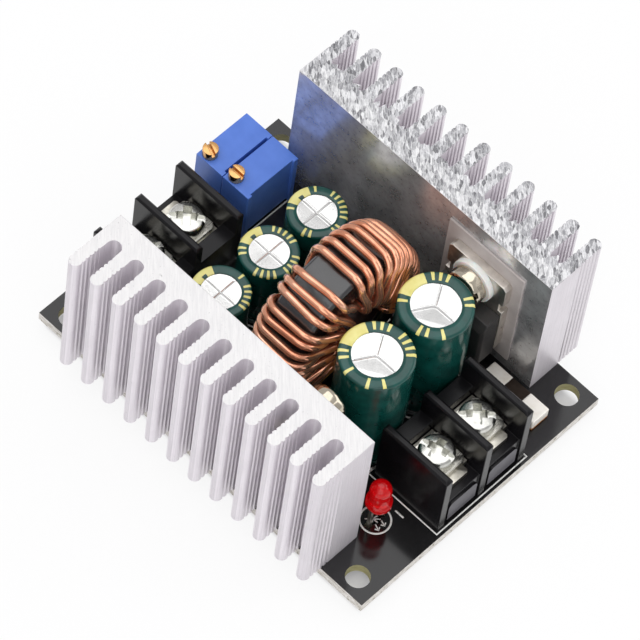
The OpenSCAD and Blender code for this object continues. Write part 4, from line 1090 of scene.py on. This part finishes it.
def wire_points():
    """The wire's path round the ring, in millimetres: up the -X side, over the rim and down inside."""
    core = middle("inductor_core")
    offset, slack, big, small, foot_bend = WIRE_D / 2 + WIRE_SLACK, 0.2, 2.3, 1.25, 0.8
    outer, inner, half = CORE_OD / 2 + offset + slack, CORE_ID / 2 - offset, CORE_T / 2 + offset
    rim, flank = outer - big, half + slack
    turns = [first + k * step for first, count, step in TURN_GROUPS for k in range(count)]
    random.seed(31)
    slips = [(random.uniform(-1.1, 1.1), random.uniform(-1.1, 1.1)) for _ in turns]
    bulges = [random.uniform(0.0, 0.2) for _ in turns]
    crown = cad_box[1].z / MM - WIRE_D / 2 - 0.02

    def spot(radius, along, angle):
        up, sideways = polar(radius, angle)
        return (core.x + along, core.y + sideways, min(crown, core.z + up))

    def bend(radius, along, first, angle, size):
        arc = [polar(size, first + 10 * j) for j in range(10)]
        return [spot(radius + u, along + v, angle) for u, v in arc]

    def side_run(start, end, angle0, angle1, along0, along1, bulge):
        side = 1 if along0 > 0 else -1
        return [
            spot(start + (end - start) * t,
                 along0 + (along1 - along0) * t + side * bulge * sin(pi * t),
                 angle0 + (angle1 - angle0) * (3 * t * t - 2 * t ** 3))
            for t in (0.2, 0.4, 0.6, 0.8)
        ]

    def over_rim(angle0, angle1, bulge):
        return [
            spot(outer + 0.5 * bulge * sin(pi * t), (flank - big) * (2 * t - 1),
                 angle0 + (angle1 - angle0) * t)
            for t in (0.25, 0.5, 0.75)
        ]

    def tail(side, angle):
        x, y, z = spot(CORE_OD / 2 + offset, side * half, angle)
        arc = [polar(foot_bend, 15 * j) for j in range(1, 7)]
        curl = [(x - side * (foot_bend - u), y, z + v - foot_bend) for u, v in arc]
        return [(x, y, -BOARD_TOP), (x, y, z - 1.2)] + curl

    path = tail(-1, turns[0])
    for k in range(len(turns) - 1):
        here, there = turns[k] + slips[k][1], turns[k + 1] + slips[k + 1][0]
        deep = (turns[k] + turns[k + 1]) / 2
        lift = ((k + 1) % 2) * WIRE_LAYER
        bore, face = inner - lift + small, half + lift
        path += bend(rim, flank - big, 0, here, big)
        path += side_run(rim, bore, here, deep, flank, face, bulges[k])
        path += bend(bore, face - small, 90, deep, small)
        path += bend(bore, small - face, 180, deep, small)
        path += side_run(bore, rim, deep, there, -face, -flank, bulges[k])
        path += bend(rim, big - flank, 270, there, big)
        if k < len(turns) - 2:
            path += over_rim(there, turns[k + 1] + slips[k + 1][1], bulges[k])
    path += list(reversed(tail(1, turns[-1])))
    return path


def make_inductor():
    softened("inductor_core", CORE, 0.15, "core", limit=40.0)
    path = polylines("wire_path", wire_points())
    mesh = wire_rule().applied(path, "wound_wire", Diameter=WIRE_D * MM, Sides=12, Enamel=COPPER)
    piece(mesh, ROOT, "copper_wire", "inductor_winding")


# Terminals, trimmers and small parts


def bay_panel(bm, face_x, way, y):
    """A raised panel with rounded upper corners on the front of a bay."""
    low, high, half, corner, rise, sunk = BOARD_TOP + 0.9, BOARD_TOP + 4.7, 2.75, 0.8, 0.3, 0.1
    outline = [(-half, low), (half, low)]
    for side, first in ((1, 0), (-1, 90)):
        arc = [polar(corner, first + 18 * k) for k in range(6)]
        outline += [(side * (half - corner) + u, high - corner + v) for u, v in arc]
    back = [(face_x - way * sunk, y + u, v) for u, v in outline]
    front = [(face_x + way * rise, y + u * 0.97, v - 0.03) for u, v in outline]
    faces = slab(bm, back, front)
    # The panel's front face takes the grey painted sheen.
    faces[0].material_index = 1
    if way < 0:
        bmesh.ops.reverse_faces(bm, faces=faces)


def make_terminals():
    for side, way in (("input", 1), ("output", -1)):
        node = f"{side}_terminal_housing"
        low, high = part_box(node)
        face_x = (high.x if way > 0 else low.x) / MM - way * 0.4
        bm = merged(node)
        for bay in "ab":
            bay_panel(bm, face_x, way, middle(f"{side}_screw_{bay}").y)
        round_edges(bm, 0.16)
        shade(bm)
        piece(to_mesh(bm, node + "_rounded", BLACK, SATIN_PAINTED_SHEEN), ROOT, "terminal_plastic", node)
        softened(f"{side}_contacts", TINNED, 0.08, "tinned_contact")
        for bay in "ab":
            softened(f"{side}_clamp_{bay}", CLAMP_PLATE, 0.12, "plated_clamp", f"{side}_{bay}_clamp")


def make_trimmers():
    for name, angle in (("voltage", 0.0), ("current", -22.0)):
        softened(f"{name}_trimmer_body", BLUE, 0.1, "trimmer_blue")
        softened(f"{name}_trimmer_screw", BRASS, 0.07, "trimmer_brass", f"{name}_adjuster",
                 ending="_slotted", turn=angle)


def make_lamp():
    low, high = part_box("lamp_body")
    r, flange, flat, height = 1.5, 1.8, 1.62, (high.z - low.z) / MM
    profile = [(0.0, 0.0), (flange - 0.08, 0.0), (flange, 0.08), (flange, 0.92), (flange - 0.08, 1.0)]
    profile += [(r + 0.05, 1.02), (r, 1.1), (r, height - r)]
    profile += [(u, height - r + v) for u, v in (polar(r, 7.5 * k) for k in range(1, 12))]
    profile.append((0.0, height))
    mesh = turned(profile, 56, "lamp_dome", RESIN_PAINTED_GLOW)
    for vert in mesh.vertices:
        vert.co.y = max(vert.co.y, -flat * MM)
    stand(mesh, "lamp", "lamp_body")


make_board()
make_silk()
make_pads()
make_heatsink("front_heatsink", SAWN, FRONT_FACE, burr=0.14, seed=3.0)
make_heatsink("rear_heatsink", TORN, REAR_FACE, burr=0.22, seed=11.0)
make_screws()
make_capacitors()
make_inductor()
make_terminals()
make_trimmers()
make_lamp()
for side in ("front", "rear"):
    softened(f"{side}_device_case", EPOXY, 0.12, "chip_moulding")
    softened(f"{side}_device_leadframe", TAB_PLATE, 0.07, "plated_tab")
    softened(f"{side}_insulator", PAD, 0.06, "insulating_pad")
    softened(f"{side}_bushing", NYLON, 0.12, "white_nylon")
softened("shunt_ends", SHUNT_CAP, 0.18, "shunt_tin")
softened("shunt_strip", SHUNT_ALLOY, 0.08, "shunt_alloy")
for chip in ("controller_chip", "amplifier_chip", "regulator_chip"):
    softened(chip, EPOXY, 0.08, "chip_moulding")
paint(TINNED, "heatsink_pins", "voltage_trimmer_pins", "current_trimmer_pins")
paint(TINNED, "capacitor_leads", "lamp_leads", "chip_feet")
paint(SOLDER, "solder_joints")
paint(RUBBER, "capacitor_bungs")

bpy.context.scene.view_settings.view_transform = "Standard"
